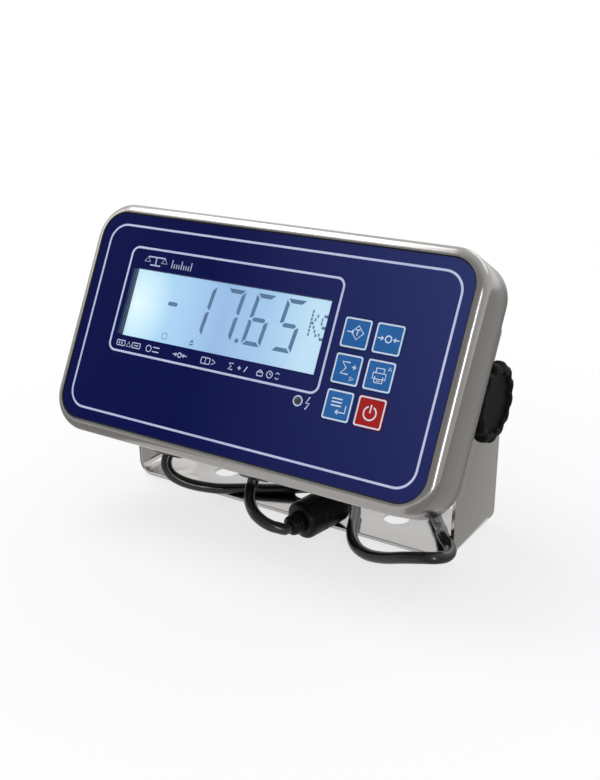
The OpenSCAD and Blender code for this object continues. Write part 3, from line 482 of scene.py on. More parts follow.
FINISHES = {
    # name: (kind, dark colour, light colour, (least roughness, most), further settings)
    "Bracket steel": (metal, (0.45, 0.439, 0.428), (0.5, 0.489, 0.478), (0.14, 0.19),
        {"stretch": (0.03, 1, 1), "scale": 5200.0, "strength": 0.06, "smears": 0.06}),
    "Housing steel": (metal, (0.31, 0.299, 0.288), (0.37, 0.358, 0.346), (0.19, 0.25),
        {"stretch": (0.03, 1, 1), "scale": 5200.0, "strength": 0.07, "smears": 0.06}),
    "Hardware steel": (metal, (0.45, 0.45, 0.45), (0.62, 0.62, 0.62), (0.2, 0.32), {"scale": 1500.0}),
    "Plug nickel": (metal, (0.6, 0.59, 0.56), (0.8, 0.79, 0.76), (0.08, 0.16), {"scale": 2000.0}),
    "Contact brass": (metal, (0.45, 0.32, 0.13), (0.7, 0.53, 0.25), (0.15, 0.28), {"scale": 2000.0}),
    "Knob plastic": (plastic, (0.003, 0.003, 0.004), (0.006, 0.006, 0.007), (0.44, 0.52),
        {"scale": 1900.0, "strength": 0.2, "dust": 0.004, "specular": 0.06}),
    "Gland nylon": (plastic, (0.008, 0.008, 0.009), (0.018, 0.018, 0.02), (0.3, 0.42), {"dust": 0.05}),
    "Seal rubber": (plastic, (0.012, 0.012, 0.012), (0.026, 0.026, 0.026), (0.55, 0.75), {"strength": 0.35}),
    "Lead jacket": (plastic, (0.004, 0.004, 0.005), (0.01, 0.01, 0.012), (0.16, 0.26),
        {"scale": 3500.0, "strength": 0.05}),
    "Connector shell": (plastic, (0.002, 0.002, 0.003), (0.004, 0.004, 0.005), (0.3, 0.38),
        {"dust": 0.003, "specular": 0.12}),
    "Connector insert": (plastic, (0.01, 0.01, 0.012), (0.02, 0.02, 0.024), (0.5, 0.65), {}),
    "Tie nylon": (plastic, (0.012, 0.012, 0.013), (0.022, 0.022, 0.024), (0.35, 0.5), {}),
    "Key blue": (plastic, (0.012, 0.115, 0.37), (0.02, 0.15, 0.44), (0.24, 0.34),
        {"scale": 5200.0, "strength": 0.08, "specular": 0.3}),
    "Key red": (plastic, (0.33, 0.004, 0.005), (0.42, 0.007, 0.008), (0.24, 0.34),
        {"scale": 5200.0, "strength": 0.08, "specular": 0.3}),
    "Face print": (plastic, (0.5, 0.56, 0.82), (0.6, 0.66, 0.9), (0.4, 0.5), {"specular": 0.3}),
    "Key print": (plastic, (0.66, 0.72, 0.86), (0.76, 0.82, 0.93), (0.4, 0.5), {"specular": 0.3}),
    "Display print": (plastic, (0.035, 0.15, 0.32), (0.045, 0.175, 0.37), (0.3, 0.4), {"specular": 0.1}),
    # Black for the painted shade in the groove between the face film and the rim
    "Film edge": (plastic, (0.002, 0.002, 0.004), (0.006, 0.006, 0.009), (0.4, 0.6), {"specular": 0.2}),
    "Display edge": (plastic, (0.004, 0.01, 0.05), (0.01, 0.03, 0.1), (0.2, 0.3), {"specular": 0.3}),
    "Light lens": (plastic, (0.5, 0.52, 0.55), (0.62, 0.64, 0.68), (0.08, 0.16), {}),
    "Light core": (plastic, (0.02, 0.02, 0.035), (0.04, 0.04, 0.06), (0.2, 0.3), {}),
    "Spacer film": (plastic, (0.5, 0.53, 0.58), (0.6, 0.63, 0.68), (0.35, 0.45), {}),
    "Circuit film": (plastic, (0.3, 0.17, 0.05), (0.42, 0.26, 0.09), (0.25, 0.35), {}),
    "Light guide": (plastic, (0.75, 0.8, 0.86), (0.85, 0.9, 0.95), (0.3, 0.4), {}),
    "White plastic": (plastic, (0.62, 0.62, 0.58), (0.72, 0.72, 0.68), (0.4, 0.55), {"dust": 0.1}),
    "Board lacquer": (plastic, (0.005, 0.06, 0.02), (0.01, 0.11, 0.035), (0.2, 0.35),
        {"scale": 700.0, "strength": 0.25, "blotch": 160.0}),
    "Chip black": (plastic, (0.01, 0.01, 0.01), (0.02, 0.02, 0.02), (0.45, 0.6), {}),
    "Capacitor sleeve": (plastic, (0.01, 0.012, 0.05), (0.02, 0.025, 0.09), (0.2, 0.3), {}),
    "Battery case": (plastic, (0.012, 0.016, 0.02), (0.024, 0.03, 0.036), (0.4, 0.55), {"strength": 0.3}),
    "Wire red": (plastic, (0.25, 0.008, 0.008), (0.4, 0.015, 0.012), (0.3, 0.4), {}),
}

SLOT_FINISH = {
    "polished_steel": "Bracket steel", "housing_steel": "Housing steel", "hardware_steel": "Hardware steel",
    "knob_plastic": "Knob plastic", "rubber": "Seal rubber", "gland_plastic": "Gland nylon",
    "overlay": "Face film", "keys_blue": "Key blue", "key_red": "Key red", "spacer": "Spacer film",
    "circuit": "Circuit film", "window": "Clear window", "led": "Light lens", "lcd_glass": "Lit display",
    "backlight": "Light guide", "white_plastic": "White plastic", "board": "Board lacquer",
    "black_parts": "Chip black", "capacitors": "Capacitor sleeve", "battery_case": "Battery case",
    "contacts": "Contact brass", "red_wire": "Wire red", "cable": "Lead jacket", "plug_metal": "Plug nickel",
    "connector_black": "Connector shell",
}
NODE_FINISH = {"connector_insert": "Connector insert", "keypad_circuit": "Display edge"}


# Settings


class IndicatorFace(bpy.types.PropertyGroup):
    line_width: bpy.props.FloatProperty(
        name="Outline width", description="Width of the printed outlines in millimetres", default=1.1,
        min=0.3)
    overlay_dark: bpy.props.FloatVectorProperty(
        name="Film, dark", description="Colour of the face film at its lower left", subtype="COLOR",
        default=(0.0006, 0.0038, 0.074), min=0, max=1)
    # The film's colour at its upper right, where a painted sheen makes it paler
    overlay_painted_sheen: bpy.props.FloatVectorProperty(
        name="Film, pale", description="Colour of the face film at its upper right", subtype="COLOR",
        default=(0.03, 0.041, 0.165), min=0, max=1)
    ink_height: bpy.props.FloatProperty(
        name="Ink height", description="Height of the printed ink in millimetres", default=0.04, min=0.01)


class IndicatorMetal(bpy.types.PropertyGroup):
    bracket_edge: bpy.props.FloatProperty(
        name="Bracket edge", description="Softened edge of the bracket in millimetres", default=0.3, min=0.05)
    shell_edge: bpy.props.FloatProperty(
        name="Shell edge", description="Softened edge of the housing in millimetres", default=0.25, min=0.05)


class IndicatorLeads(bpy.types.PropertyGroup):
    diameter: bpy.props.FloatProperty(
        name="Lead diameter", description="Diameter of both leads", default=0.006, min=0.003, unit="LENGTH")
    sides: bpy.props.IntProperty(
        name="Sides", description="Sides of a lead's round section", default=20, min=8)


# Leads

# The leads' routes, from their glands on, in millimetres
SIGNAL_ROUTE = [
    (-6.5, -41.683, 25.835), (-6.5, -43.103, 23.192), (-5.9, -45.7, 21.5), (-3.4, -49.9, 18.7),
    (0.5, -53.9, 16.9), (5.1, -57, 15.5), (7.8, -57.9, 14.7), (10.4, -58.1, 13.6), (13.1, -57.7, 12.5),
    (15.5, -56.6, 11.4), (17.7, -54.9, 10.5), (19.857, -52.935, 9.35), (20.71, -50.075, 9.65),
]
POWER_ROUTE = [
    (-63, -41.683, 25.835), (-63, -43.103, 23.192), (-61.8, -44.2, 19.5), (-59.4, -43.7, 16),
    (-56, -41.6, 13), (-51.8, -38, 10.2), (-46.8, -33.2, 7.8), (-40.8, -28, 6), (-34.5, -22.2, 5.1),
    (-27, -17, 5), (-18.5, -12.6, 5), (-10, -7.2, 5), (-2.5, -1.2, 5), (5, 3.6, 5), (13.5, 5.6, 5),
    (21.3, 4.2, 5), (28.5, -0.2, 5), (34.2, -7.2, 5), (38.8, -16, 5), (42.6, -24.4, 5), (45.9, -31, 4.4),
    (50, -36.6, 3.7), (55.5, -41, 3.1), (62.2, -44.1, 3.5), (69.5, -46.5, 5.4), (76.7, -48.3, 8),
    (83.9, -49.6, 11), (91.5, -49.7, 13.3), (95.3, -48.7, 13.9), (98.7, -46.7, 13.8), (101.2, -43.7, 13.4),
    (102.5, -40, 12.8), (102.3, -36.1, 12.6), (100.8, -32.5, 12.7), (98.1, -29.6, 13.2),
    (92.7, -23.9, 13.5), (89.1, -17.1, 11.5), (85.9, -10.5, 8.4), (82.1, -4.1, 5.8), (77.6, 2, 5),
    (72, 10.6, 5), (66.5, 19, 5), (61.5, 27.5, 5), (56, 38.5, 3.6), (48.6, 53.5, 3.2), (44.2, 63.5, 3.9),
    (42, 71, 4.5), (42, 74, 4.5),
]
TAIL_ROUTE = [
    (-12, 120.375, 11.1), (-20, 120.2, 9.5), (-28, 119.9, 7.4), (-36, 119.6, 6), (-41, 119.5, 5.6),
    (-44, 119.5, 5.6),
]
COIL_STEP = 15
COIL_END = 1890
# The coil's middle, the pitch of its turns, the heights of its two layers and where it climbs between them
COIL_Y = 80
COIL_PITCH = 6.5
COIL_OUTER = 42
COIL_INNER = 25.75
COIL_LOW = 4.5
COIL_HIGH = 11.1
CLIMB_FROM = 900
CLIMB_TO = 1080


def coil_point(a):
    """A point of the coil at that angle in degrees: it winds in below, climbs, and winds out above."""
    climb = math.radians(a - CLIMB_FROM)
    if a < CLIMB_FROM:
        r, z = COIL_OUTER - COIL_PITCH * a / 360, COIL_LOW
    elif a < CLIMB_TO:
        r = COIL_INNER - COIL_PITCH / (2 * math.pi) * math.sin(climb)
        z = COIL_LOW + (COIL_HIGH - COIL_LOW) * (1 - math.cos(climb)) / 2
    else:
        r, z = COIL_INNER + COIL_PITCH * (a - CLIMB_TO) / 360, COIL_HIGH
    return (r * math.cos(math.radians(a)), COIL_Y + r * math.sin(math.radians(a)), z)


def smooth_route(points, step=0.0015):
    """A centripetal spline through the route's points, in metres."""
    p = [Vector(q) * MM for q in points]
    p = [2 * p[0] - p[1], *p, 2 * p[-1] - p[-2]]
    line = [p[1]]
    for four in zip(p, p[1:], p[2:], p[3:]):
        knots = [0.0]
        for a, b in zip(four, four[1:]):
            knots.append(knots[-1] + (b - a).length ** 0.5)
        count = max(1, round((four[2] - four[1]).length / step))
        for i in range(1, count + 1):
            t = knots[1] + (knots[2] - knots[1]) * i / count
            row = four
            for starts, ends in ((knots, knots[1:]), (knots, knots[2:]), (knots[1:], knots[2:3])):
                row = [a.lerp(b, (t - k0) / (k1 - k0)) for a, b, k0, k1 in zip(row, row[1:], starts, ends)]
            line.append(row[0])
    return line


def lead_tube(name, line, settings, nodes):
    obj = curve_mesh(name, [(line, 1.0, False)], Matrix.Identity(4), 1e-6, dimensions="3D",
                     use_fill_caps=True, bevel_depth=settings.diameter / 2,
                     bevel_resolution=settings.sides // 4 - 1)
    smooth(obj, 60)
    return finish_piece(obj, "Lead jacket", None, nodes)


def turned_shell(name, rings, place, nodes, verts=64, width=0.12, angle=50):
    """A turned piece of the connector or the plug, with softened grooves."""
    obj = turned(name, rings, verts)
    place_mesh(obj, place)
    apply_bevel(obj, width, 2, angle)
    smooth(obj)
    return finish_piece(obj, "Connector shell", "stand", nodes)


def line_length(line):
    return sum((b - a).length for a, b in zip(line, line[1:]))


CONNECTOR_FRONT = (22.7, -43.4, 10.35)
CONNECTOR_ALONG = (0.28426, 0.95353, 0.10001)
# Softened edges of the coil's tie and of the plug's tip, in millimetres
TIE_EDGE = 0.2
TIP_EDGE = 0.15
CONNECTOR_RINGS = [
    (0, 5.2), (0, 8.4), (0.5, 9.4), (1.6, 9.93), (3.2, 10), (9.0, 10), (9.25, 9.75), (10.05, 9.75),
    (10.3, 10), (13.2, 10), (13.45, 9.75), (14.25, 9.75), (14.5, 10), (21.6, 10), (24.2, 9.9), (25.4, 9.5),
    (26, 8.7), (26, 7.9), (25.6, 7.6), (15.2, 7.6), (15.1, 3),
]
SLEEVE_RINGS = [
    (0.2, 3.1), (0.2, 5.6), (-0.6, 5.75), (-2.0, 5.75), (-2.3, 5.4), (-2.9, 5.4), (-3.2, 5.6),
    (-4.2, 5.45), (-4.5, 5.1), (-5.1, 5.0), (-5.4, 5.2), (-6.3, 4.9), (-6.8, 4.5), (-7, 4.1), (-7, 3.15),
]
PLUG_RINGS = [
    (0, 3.15), (0, 3.6), (2.4, 3.75), (2.7, 3.35), (3.7, 3.4), (4.0, 3.95), (5.9, 4.15), (6.2, 3.7),
    (7.2, 3.8), (7.5, 4.4), (9.6, 4.6), (9.9, 4.1), (10.9, 4.2), (11.2, 4.75), (14, 5.0), (14.3, 5.3),
    (15.2, 5.5), (17.5, 5.5), (17.8, 5.25), (18.5, 5.25), (18.8, 5.5), (19.4, 5.5), (19.7, 5.25),
    (20.4, 5.25), (20.7, 5.5), (32.5, 5.5), (33.6, 5.1), (34, 4.0), (34, 2.6),
]


class INDICATOR_OT_leads(bpy.types.Operator):
    """Make the signal lead with its connector, and the power lead with its coil, tie and plug"""
    bl_idname = "indicator.leads"
    bl_label = "Leads"

    def execute(self, context):
        p = context.scene.indicator_leads
        signal = smooth_route(SIGNAL_ROUTE)
        coil = [coil_point(a) for a in range(COIL_STEP, COIL_END + 1, COIL_STEP)]
        power = smooth_route(POWER_ROUTE + coil + TAIL_ROUTE)
        cord = lead_tube("signal_cord", signal, p, ["signal_lead"])
        main = lead_tube("power_cord", power, p, ["power_lead", "power_lead_coil", "power_lead_tail"])

        place = along(CONNECTOR_FRONT, CONNECTOR_ALONG)
        shell = turned_shell("connector_body", CONNECTOR_RINGS, place, ["connector_shell"])
        sleeve = turned_shell("connector_sleeve", SLEEVE_RINGS, place, ["connector_nut"], width=0.1)
        tie = dressed_copy("coil_tie", "coil_strap", "Tie nylon", "stand", "black_parts", TIE_EDGE)
        place = along(TAIL_ROUTE[-1], (-1, 0, 0))
        plug = turned_shell("plug_body", PLUG_RINGS, place, ["power_plug"], 48, angle=45)
        tip = dressed_copy("plug_tip", "plug_barrel", "Plug nickel", "stand", "plug_metal", TIP_EDGE)

        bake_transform(cord)
        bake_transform(main)
        print("signal lead", round(line_length(signal), 4), "power lead", round(line_length(power), 4))
        return {"FINISHED"}


# Metalwork and glands

METAL_PIECES = (
    # CAD node, piece, finish, body, slot, softened edge in millimetres or its setting, segments
    ("bracket", "bracket_sheet", "Bracket steel", "stand", "polished_steel", "bracket_edge", 3),
    ("arm_washers", "arm_rings", "Hardware steel", "stand", "hardware_steel", 0.15, 2),
    ("front_shell", "front_cover", "Housing steel", "head", "housing_steel", "shell_edge", 2),
    ("rear_case", "rear_cover", "Housing steel", "head", "housing_steel", "shell_edge", 2),
    ("cover_screws", "cover_screw_heads", "Hardware steel", "head", "hardware_steel", 0.15, 2),
    ("friction_washers", "friction_discs", "Seal rubber", "head", "rubber", 0.25, 2),
    ("gland_bodies", "gland_bases", "Gland nylon", "head", "gland_plastic", 0.25, 2),
    ("gland_nuts", "gland_caps", "Gland nylon", "head", "gland_plastic", 0.25, 2),
)


class INDICATOR_OT_metalwork(bpy.types.Operator):
    """Make the bracket, the head's shells, their screws, the washers and the cable glands"""
    bl_idname = "indicator.metalwork"
    bl_label = "Bracket and housing"

    def execute(self, context):
        settings = context.scene.indicator_metal
        for *piece, edge, segments in METAL_PIECES:
            width = getattr(settings, edge) if isinstance(edge, str) else edge
            dressed_copy(*piece, width, segments)
        return {"FINISHED"}


# Knobs

SCALLOPS = 13
SCALLOP_STEPS = 12
SCALLOP_DEPTH = 1.75
KNOB_RADIUS = 20
# How much narrower than a cosine the dips are
DIP_POWER = 1.6
KNOB_RIM = [
    (0.5, 12), (0.5, 17.4), (0.62, 18.4), (1.0, 19.2), (1.7, 19.75), (2.6, 20), (4.4, 20), (5.4, 19.8),
    (6.3, 19.2), (6.9, 18.4), (7.1, 17.4), (7.1, 16.2), (6.9, 15.6), (6.3, 15.2), (5.3, 15.0),
]
KNOB_DISH = [
    (4.4, 14.0), (5.8, 15.5), (5.55, 14.9), (5.35, 14.0), (5.18, 12.0), (5.05, 9.5), (4.97, 6.5),
    (4.92, 3.5), (4.9, 0.4),
]
KNOB_HUB = [(0, 4.0), (0, 7.4), (0.8, 7.5), (1.2, 7.4)]
# Where the right knob's foot stands, in millimetres; the left one mirrors it
KNOB_X = 100
KNOB_Z = 77


def scallop_outline(obj):
    """Draws the circle in between the knob's lobes, one ring of like vertices at a time."""
    for k in range(SCALLOP_STEPS):
        dip = (0.5 + 0.5 * math.cos(2 * math.pi * k / SCALLOP_STEPS)) ** DIP_POWER
        mesh = bmesh.from_edit_mesh(obj.data)
        for v in mesh.verts:
            a = math.atan2(v.co.y, v.co.x) / (2 * math.pi) * SCALLOPS * SCALLOP_STEPS
            v.select = round(a) % SCALLOP_STEPS == k
        mesh.select_flush_mode()
        bmesh.update_edit_mesh(obj.data)
        bpy.ops.mesh.select_mode(type="VERT")
        widen(1 - SCALLOP_DEPTH / KNOB_RADIUS * dip)
    bpy.ops.mesh.select_mode(type="FACE")


class INDICATOR_OT_knobs(bpy.types.Operator):
    """Make one scalloped hand knob and copy it to the other side"""
    bl_idname = "indicator.knobs"
    bl_label = "Hand knobs"

    def execute(self, context):
        outer = turned("knob_rim", KNOB_RIM, SCALLOPS * SCALLOP_STEPS, scallop_outline)
        dish = turned("knob_dish", KNOB_DISH, 96)
        first = join("right_hand_knob", [outer, dish, turned("knob_hub", KNOB_HUB)])
        smooth(first, 40)
        second = first.copy()
        second.data = first.data.copy()
        rename(second, "left_hand_knob")
        context.collection.objects.link(second)
        for obj, side, body in ((first, 1, "right_knob"), (second, -1, "left_knob")):
            place_mesh(obj, along((side * KNOB_X, 0, KNOB_Z), (side, 0, 0)))
            finish_piece(obj, "Knob plastic", body, [body])
        return {"FINISHED"}


# Face


def key_centre(name):
    low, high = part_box(name)
    c = FACE.inverted() @ ((low + high) / 2)
    return c.x, c.y


KEY_SYMBOLS = {
    "key_tare": [([(-2.4, 0.4), (0.6, 3.6), (3.8, 0.4), (0.6, -2.8)], 0.5, True),
        ([(-0.6, 1.7), (1.8, 1.7)], 0.5, False),
        ([(0.6, 1.7), (0.6, -0.9)], 0.5, False), ([(-4.6, 0.4), (-1.4, 0.4)], 0.5, False),
        ([(-2.2, 1.1), (-1.4, 0.4), (-2.2, -0.3)], 0.45, False)],
    "key_zero": [(circle(0, 0, 1.5, 20), 0.6, True), ([(-5.4, 0), (-2.6, 0)], 0.55, False),
        ([(-3.6, 0.9), (-2.6, 0), (-3.6, -0.9)], 0.5, False), ([(5.4, 0), (2.6, 0)], 0.55, False),
        ([(3.6, 0.9), (2.6, 0), (3.6, -0.9)], 0.5, False)],
    "key_sum": [([(1.0, 3.3), (-3.0, 3.3), (-0.6, 0.6), (-3.0, -2.1), (1.0, -2.1)], 0.6, False),
        ([(2.3, 1.4), (4.5, 1.4)], 0.5, False), ([(3.4, 2.5), (3.4, 0.3)], 0.5, False),
        ([(2.5, -4.8), (4.3, -3.9), (2.5, -3.0)], 0.45, True)],
    "key_print": [([(-3.2, 1.2), (3.2, 1.2), (3.2, -1.5), (-3.2, -1.5)], 0.5, True),
        ([(-2.0, 1.2), (-2.0, 3.4), (2.0, 3.4), (2.0, 1.2)], 0.5, False),
        ([(-2.0, -0.4), (-2.0, -3.2), (2.0, -3.2), (2.0, -0.4)], 0.5, False),
        ([(-1.0, -1.6), (1.0, -1.6)], 0.3, False), ([(-1.0, -2.4), (1.0, -2.4)], 0.3, False),
        ([(3.6, 3.2), (4.4, 4.6), (5.2, 3.2)], 0.45, True)],
    "key_menu": [([(-3.6, 3.0), (1.8, 3.0)], 0.6, False), ([(-3.6, 1.4), (1.8, 1.4)], 0.6, False),
        ([(-3.6, -0.2), (1.8, -0.2)], 0.6, False),
        ([(4.2, 0.6), (4.2, -2.9), (-0.6, -2.9)], 0.55, False),
        ([(0.7, -1.9), (-0.6, -2.9), (0.7, -3.9)], 0.5, False)],
    "key_power": [(arc(0, -0.3, 3.1, 115, 425, 28), 0.7, False), ([(0, 3.6), (0, -0.2)], 0.7, False)],
}


def small_signs():
    """Generic signs under the display: charge, level, zero, net, sum and hold."""
    v = SIGNS_V
    s = [(rounded(u - 2.6, u + 2.6, v - 1.3, v + 1.3, 0.4, 3), 0.35, True) for u in (-76, -66)]
    s += [([(u, v - 0.6), (u, v + 0.6)], 0.5, False) for u in (-77, -75.4)]
    s += [([(-72.2, v - 1.3), (-70.9, v + 1.3), (-69.6, v - 1.3)], 0.35, True),
          ([(-67.4, v), (-64.6, v)], 0.35, False), (circle(-57.8, v, 1.6, 18), 0.35, True)]
    s += [([(-55.2, v + rise), (-51, v + rise)], 0.4, False) for rise in (1.1, -1.1)]
    s += [([(-42.2, v), (-39.8, v)], 0.4, False),
          ([(-40.7, v + 0.9), (-39.8, v), (-40.7, v - 0.9)], 0.35, False),
          (circle(-38, v, 1.1, 16), 0.4, True), ([(-33.4, v), (-36.2, v)], 0.4, False),
          ([(-35.3, v + 0.9), (-36.2, v), (-35.3, v - 0.9)], 0.35, False)]
    s += [(rounded(-24.6, -19.4, v - 1.5, v + 1.5, 0.4, 3), 0.35, True),
          ([(-22, v + 1.5), (-22, v - 1.5)], 0.3, False),
          ([(-18.2, v + 1.2), (-16, v), (-18.2, v - 1.2)], 0.35, False)]
    s += [([(-5.4, v + 1.5), (-8.2, v + 1.5), (-6.5, v), (-8.2, v - 1.5), (-5.4, v - 1.5)], 0.4, False),
          ([(-2.8, v), (-0.8, v)], 0.4, False), ([(-1.8, v + 1), (-1.8, v - 1)], 0.4, False),
          ([(1.2, v - 1.4), (2.6, v + 1.4)], 0.4, False)]
    s += [(rounded(8.6, 11.8, v - 1.6, v + 0.2, 0.3, 3), 0.35, True),
          (arc(10.2, v + 0.2, 1.0, 0, 180, 8), 0.35, False), (circle(15.6, v, 1.6, 16), 0.35, True),
          ([(15.6, v + 1), (15.6, v), (16.5, v)], 0.3, False)]
    s += [([(18.9, v + 0.9 * side), (19.9, v + 1.6 * side), (20.9, v + 0.9 * side)], 0.35, False)
          for side in (1, -1)]
    # A plain balance and a scale's marks in the frame's top left corner
    v = BALANCE_V
    s += [([(-70.2, v - 2.2), (-63.8, v - 2.2)], 0.5, False), ([(-67, v - 2.2), (-67, v + 2)], 0.5, False),
          ([(-72.4, v + 2), (-61.6, v + 2)], 0.5, False)]
    s += [([(u - 1.8, v - 0.6), (u, v + 2), (u + 1.8, v - 0.6)], 0.35, True) for u in (-72.4, -61.6)]
    s += [([(-56.5 + 1.5 * i, v - 2.2), (-56.5 + 1.5 * i, v + (2 if i % 4 == 0 else 0))], 0.4, False)
          for i in range(9)]
    # A lightning sign beside the charge light
    s += [([(39.9, -18.2), (38.4, -21.3), (40.3, -21.1), (38.7, -24.2)], 0.5, False)]
    return [(points, width * SIGN_WEIGHT, closed) for points, width, closed in s]


def digit(u0, u1, lit, width=2.1, slant=0.105, gap=0.6):
    """Seven slanted segments: a top, b and c right, d bottom, e and f left, g middle."""
    v0, v1 = DIGITS_V
    m = (v0 + v1) / 2
    w, h = width, width / 2
    left, right = u0 + w, u1 - w

    def side(u, way, end, turn):
        """The upper or lower segment of one side, from its outer corner at the top or bottom."""
        return [(u, end - turn * gap), (u, m + turn * gap), (u + way * h, m + turn * gap),
                (u + way * w, m + turn * (h + gap)), (u + way * w, end - turn * (w + gap))]

    shapes = {
        "a": [(u0 + gap, v1), (u1 - gap, v1), (right - gap, v1 - w), (left + gap, v1 - w)],
        "d": [(u0 + gap, v0), (left + gap, v0 + w), (right - gap, v0 + w), (u1 - gap, v0)],
        "g": [(u0 + w * 0.55 + gap, m), (left + gap, m + h), (right - gap, m + h), (u1 - w * 0.55 - gap, m),
              (right - gap, m - h), (left + gap, m - h)],
        "b": side(u1, -1, v1, 1),
        "c": side(u1, -1, v0, -1),
        "f": side(u0, 1, v1, 1),
        "e": side(u0, 1, v0, -1),
    }
    return [[(u + slant * (v - m), v) for u, v in shapes[k]] for k in lit]


def dots(rows, u0, v0):
    """Square dots of a dot-matrix sign, its rows given from the top."""
    (across, down), (wide, high) = DOT_PITCH, DOT_SIZE
    out = []
    for j, row in enumerate(rows):
        for i, c in enumerate(row):
            if c == "#":
                u, v = u0 + i * across, v0 - j * down
                out.append([(u, v), (u + wide, v), (u + wide, v - high), (u, v - high)])
    return out


# On the face, in millimetres: a box is its left, right, lower and upper edge and its corners' radius
OUTLINE = (-100, 100, -48.55, 48.55, 9.5)
DISPLAY_FRAME = (-83.3, 42.8, -16.2, 38, 4)
# A black line round the film's edge: painted shade in the groove between the film and the rim
FILM_GAP_SHADE = (-105.75, 105.75, -54.95, 54.95, 13.15)
FILM_GAP_SHADE_WIDTH = 0.9
FILM_GAP_SHADE_HEIGHT = 0.12
# How thick the ink is beside the display and on its cell, and how far the light's ring stands out
SIDE_INK = 0.02
CELL_INK = 0.03
RING_HEIGHT = 0.05
KEY_OUTER = (-6.85, 6.85, -6.85, 6.85, 1.1)
KEY_INNER = (-6.15, 6.15, -6.15, 6.15, 0.7)
KEY_TOP = 0.35
KEY_EDGE = 0.2
LIGHT_AT = (34, -21)
LIGHT_RING = (2.25, 32)
LIGHT_RING_WIDTH = 0.7
LENS_RINGS = [(-1.4, 1.4), (-0.6, 1.46), (-0.1, 1.46), (0.12, 1.3), (0.26, 1.0), (0.34, 0.5), (0.36, 0.1)]
SIGNS_V = -12.0
BALANCE_V = 32
SIGN_WEIGHT = 1.35
# The digits: their lower and upper edge, and of each its left and right edge and its lit segments
DIGITS_V = (-0.4, 25.3)
DIGITS = ((-38.7, -28.7, "bc"), (-22.2, -11.2, "abc"), (-4.9, 6.3, "acdefg"), (12.4, 23.6, "acdfg"))
# The unit's letters in dots, with their left and upper edge
UNIT = (
    (("#....", "#..#.", "#.#..", "##...", "#.#..", "#..#.", "#...#"), 28.7, 21.8),
    ((".##.", "#..#", "#..#", ".###", "...#", "#..#", ".##."), 34.4, 20.4),
)
DOT_PITCH = (1.0, 1.8)
DOT_SIZE = (0.9, 1.45)
MINUS = [(-54.9, 12.45), (-54.2, 11.4), (-49.4, 11.4), (-48.5, 12.45), (-49.2, 13.5), (-54, 13.5)]
POINT = circle(-8.9, 0.7, 1.15, 16)
# The display's dark left side with a pale line on it, and a ring and an arrow in its lower margin
DISPLAY_SIDE = [(-80.1, -7.4), (-77.85, -7.4), (-77.85, 26.9), (-80.1, 26.9)]
SIDE_LINE = [(-78.75, -7.2), (-78.45, -7.2), (-78.45, 26.6), (-78.75, 26.6)]
STEADY_RING = (circle(-51.8, -4.1, 1.6, 24), 0.4, True)
MARK_TIP = [(-35.9, -4.6), (-34.5, -2.9), (-33.1, -4.6)]
MARK_FOOT = [(-35.6, -5.2), (-33.4, -5.2), (-33.4, -6), (-35.6, -6)]


class INDICATOR_OT_face(bpy.types.Operator):
    """Make the face film, its print, the keys with their symbols, the display and the charge light"""
    bl_idname = "indicator.face"
    bl_label = "Printed face and keys"

    def execute(self, context):
        p = context.scene.indicator_face
        dressed_copy("face_overlay", "face_film", "Face film", "head", "overlay")
        outlines = [(rounded(*box), p.line_width, True) for box in (OUTLINE, DISPLAY_FRAME)]
        print_strokes("face_outline", outlines, "Face print", p.ink_height)
        # Painted shade: a black line in the groove between the film and the rim
        edge = (rounded(*FILM_GAP_SHADE), FILM_GAP_SHADE_WIDTH, True)
        print_strokes("face_edge", [edge], "Film edge", FILM_GAP_SHADE_HEIGHT)
        print_strokes("face_signs", small_signs(), "Face print", p.ink_height)
        for k in KEYS:
            material, slot = ("Key red", "key_red") if k == "key_power" else ("Key blue", "keys_blue")
            dressed_copy(k, k + "_cap", material, k, slot, KEY_EDGE, 3)
            at = FACE @ Matrix.Translation((*key_centre(k), KEY_TOP))
            border = [rounded(*KEY_OUTER), rounded(*KEY_INNER)]
            print_fills(k + "_border", border, "Key print", p.ink_height, k, at)
            print_strokes(k + "_symbol", KEY_SYMBOLS[k], "Key print", p.ink_height, k, at)

        dressed_copy("display_window", "window_pane", "Clear window", "head", "window")
        print_fills("display_side", [DISPLAY_SIDE], "Display edge", SIDE_INK)
        print_fills("display_side_line", [SIDE_LINE], "Display print", CELL_INK)
        at = FACE @ Matrix.Translation((0, 0, DISPLAY_LEVEL + CELL_INK))
        shapes = [MINUS, *(s for shown in DIGITS for s in digit(*shown)), POINT]
        shapes += [s for letter in UNIT for s in dots(*letter)] + [MARK_TIP, MARK_FOOT]
        print_fills("display_digits", shapes, "Display print", CELL_INK, matrix=at)
        print_strokes("display_signs", [STEADY_RING], "Display print", CELL_INK, matrix=at, round_off=False)

        lens = turned("charge_light_lens", LENS_RINGS, 40)
        place_mesh(lens, FACE @ Matrix.Translation((*LIGHT_AT, 0)) @ Matrix.Scale(1 / MM, 4))
        smooth(lens, 60)
        finish_piece(lens, "Light core", "head")
        ring = (circle(*LIGHT_AT, *LIGHT_RING), LIGHT_RING_WIDTH, True)
        print_strokes("charge_light_ring", [ring], "Face print", RING_HEIGHT)
        return {"FINISHED"}


# Finishes of the CAD nodes


class INDICATOR_OT_finishes(bpy.types.Operator):
    """Build every material and give each carried-over CAD node the finish of its slot, or its own"""
    bl_idname = "indicator.finishes"
    bl_label = "Finishes"

    def execute(self, context):
        p = context.scene.indicator_face
        build_groups()
        for name, (kind, dark, light, rough, more) in FINISHES.items():
            kind(name, dark, light, rough, **more)
        overlay_material(tuple(p.overlay_dark), tuple(p.overlay_painted_sheen))
        lcd_material()
        window_material()
        slots = {s["node"]: s["material_slot"] for s in frame["record"]["subparts"]}
        for name, obj in frame["nodes"].items():
            material = bpy.data.materials[NODE_FINISH.get(name, SLOT_FINISH[slots[name]])]
            if obj.material_slots:
                for s in obj.material_slots:
                    s.material = material
            else:
                obj.data.materials.append(material)
        return {"FINISHED"}


# Stage, lamps and camera

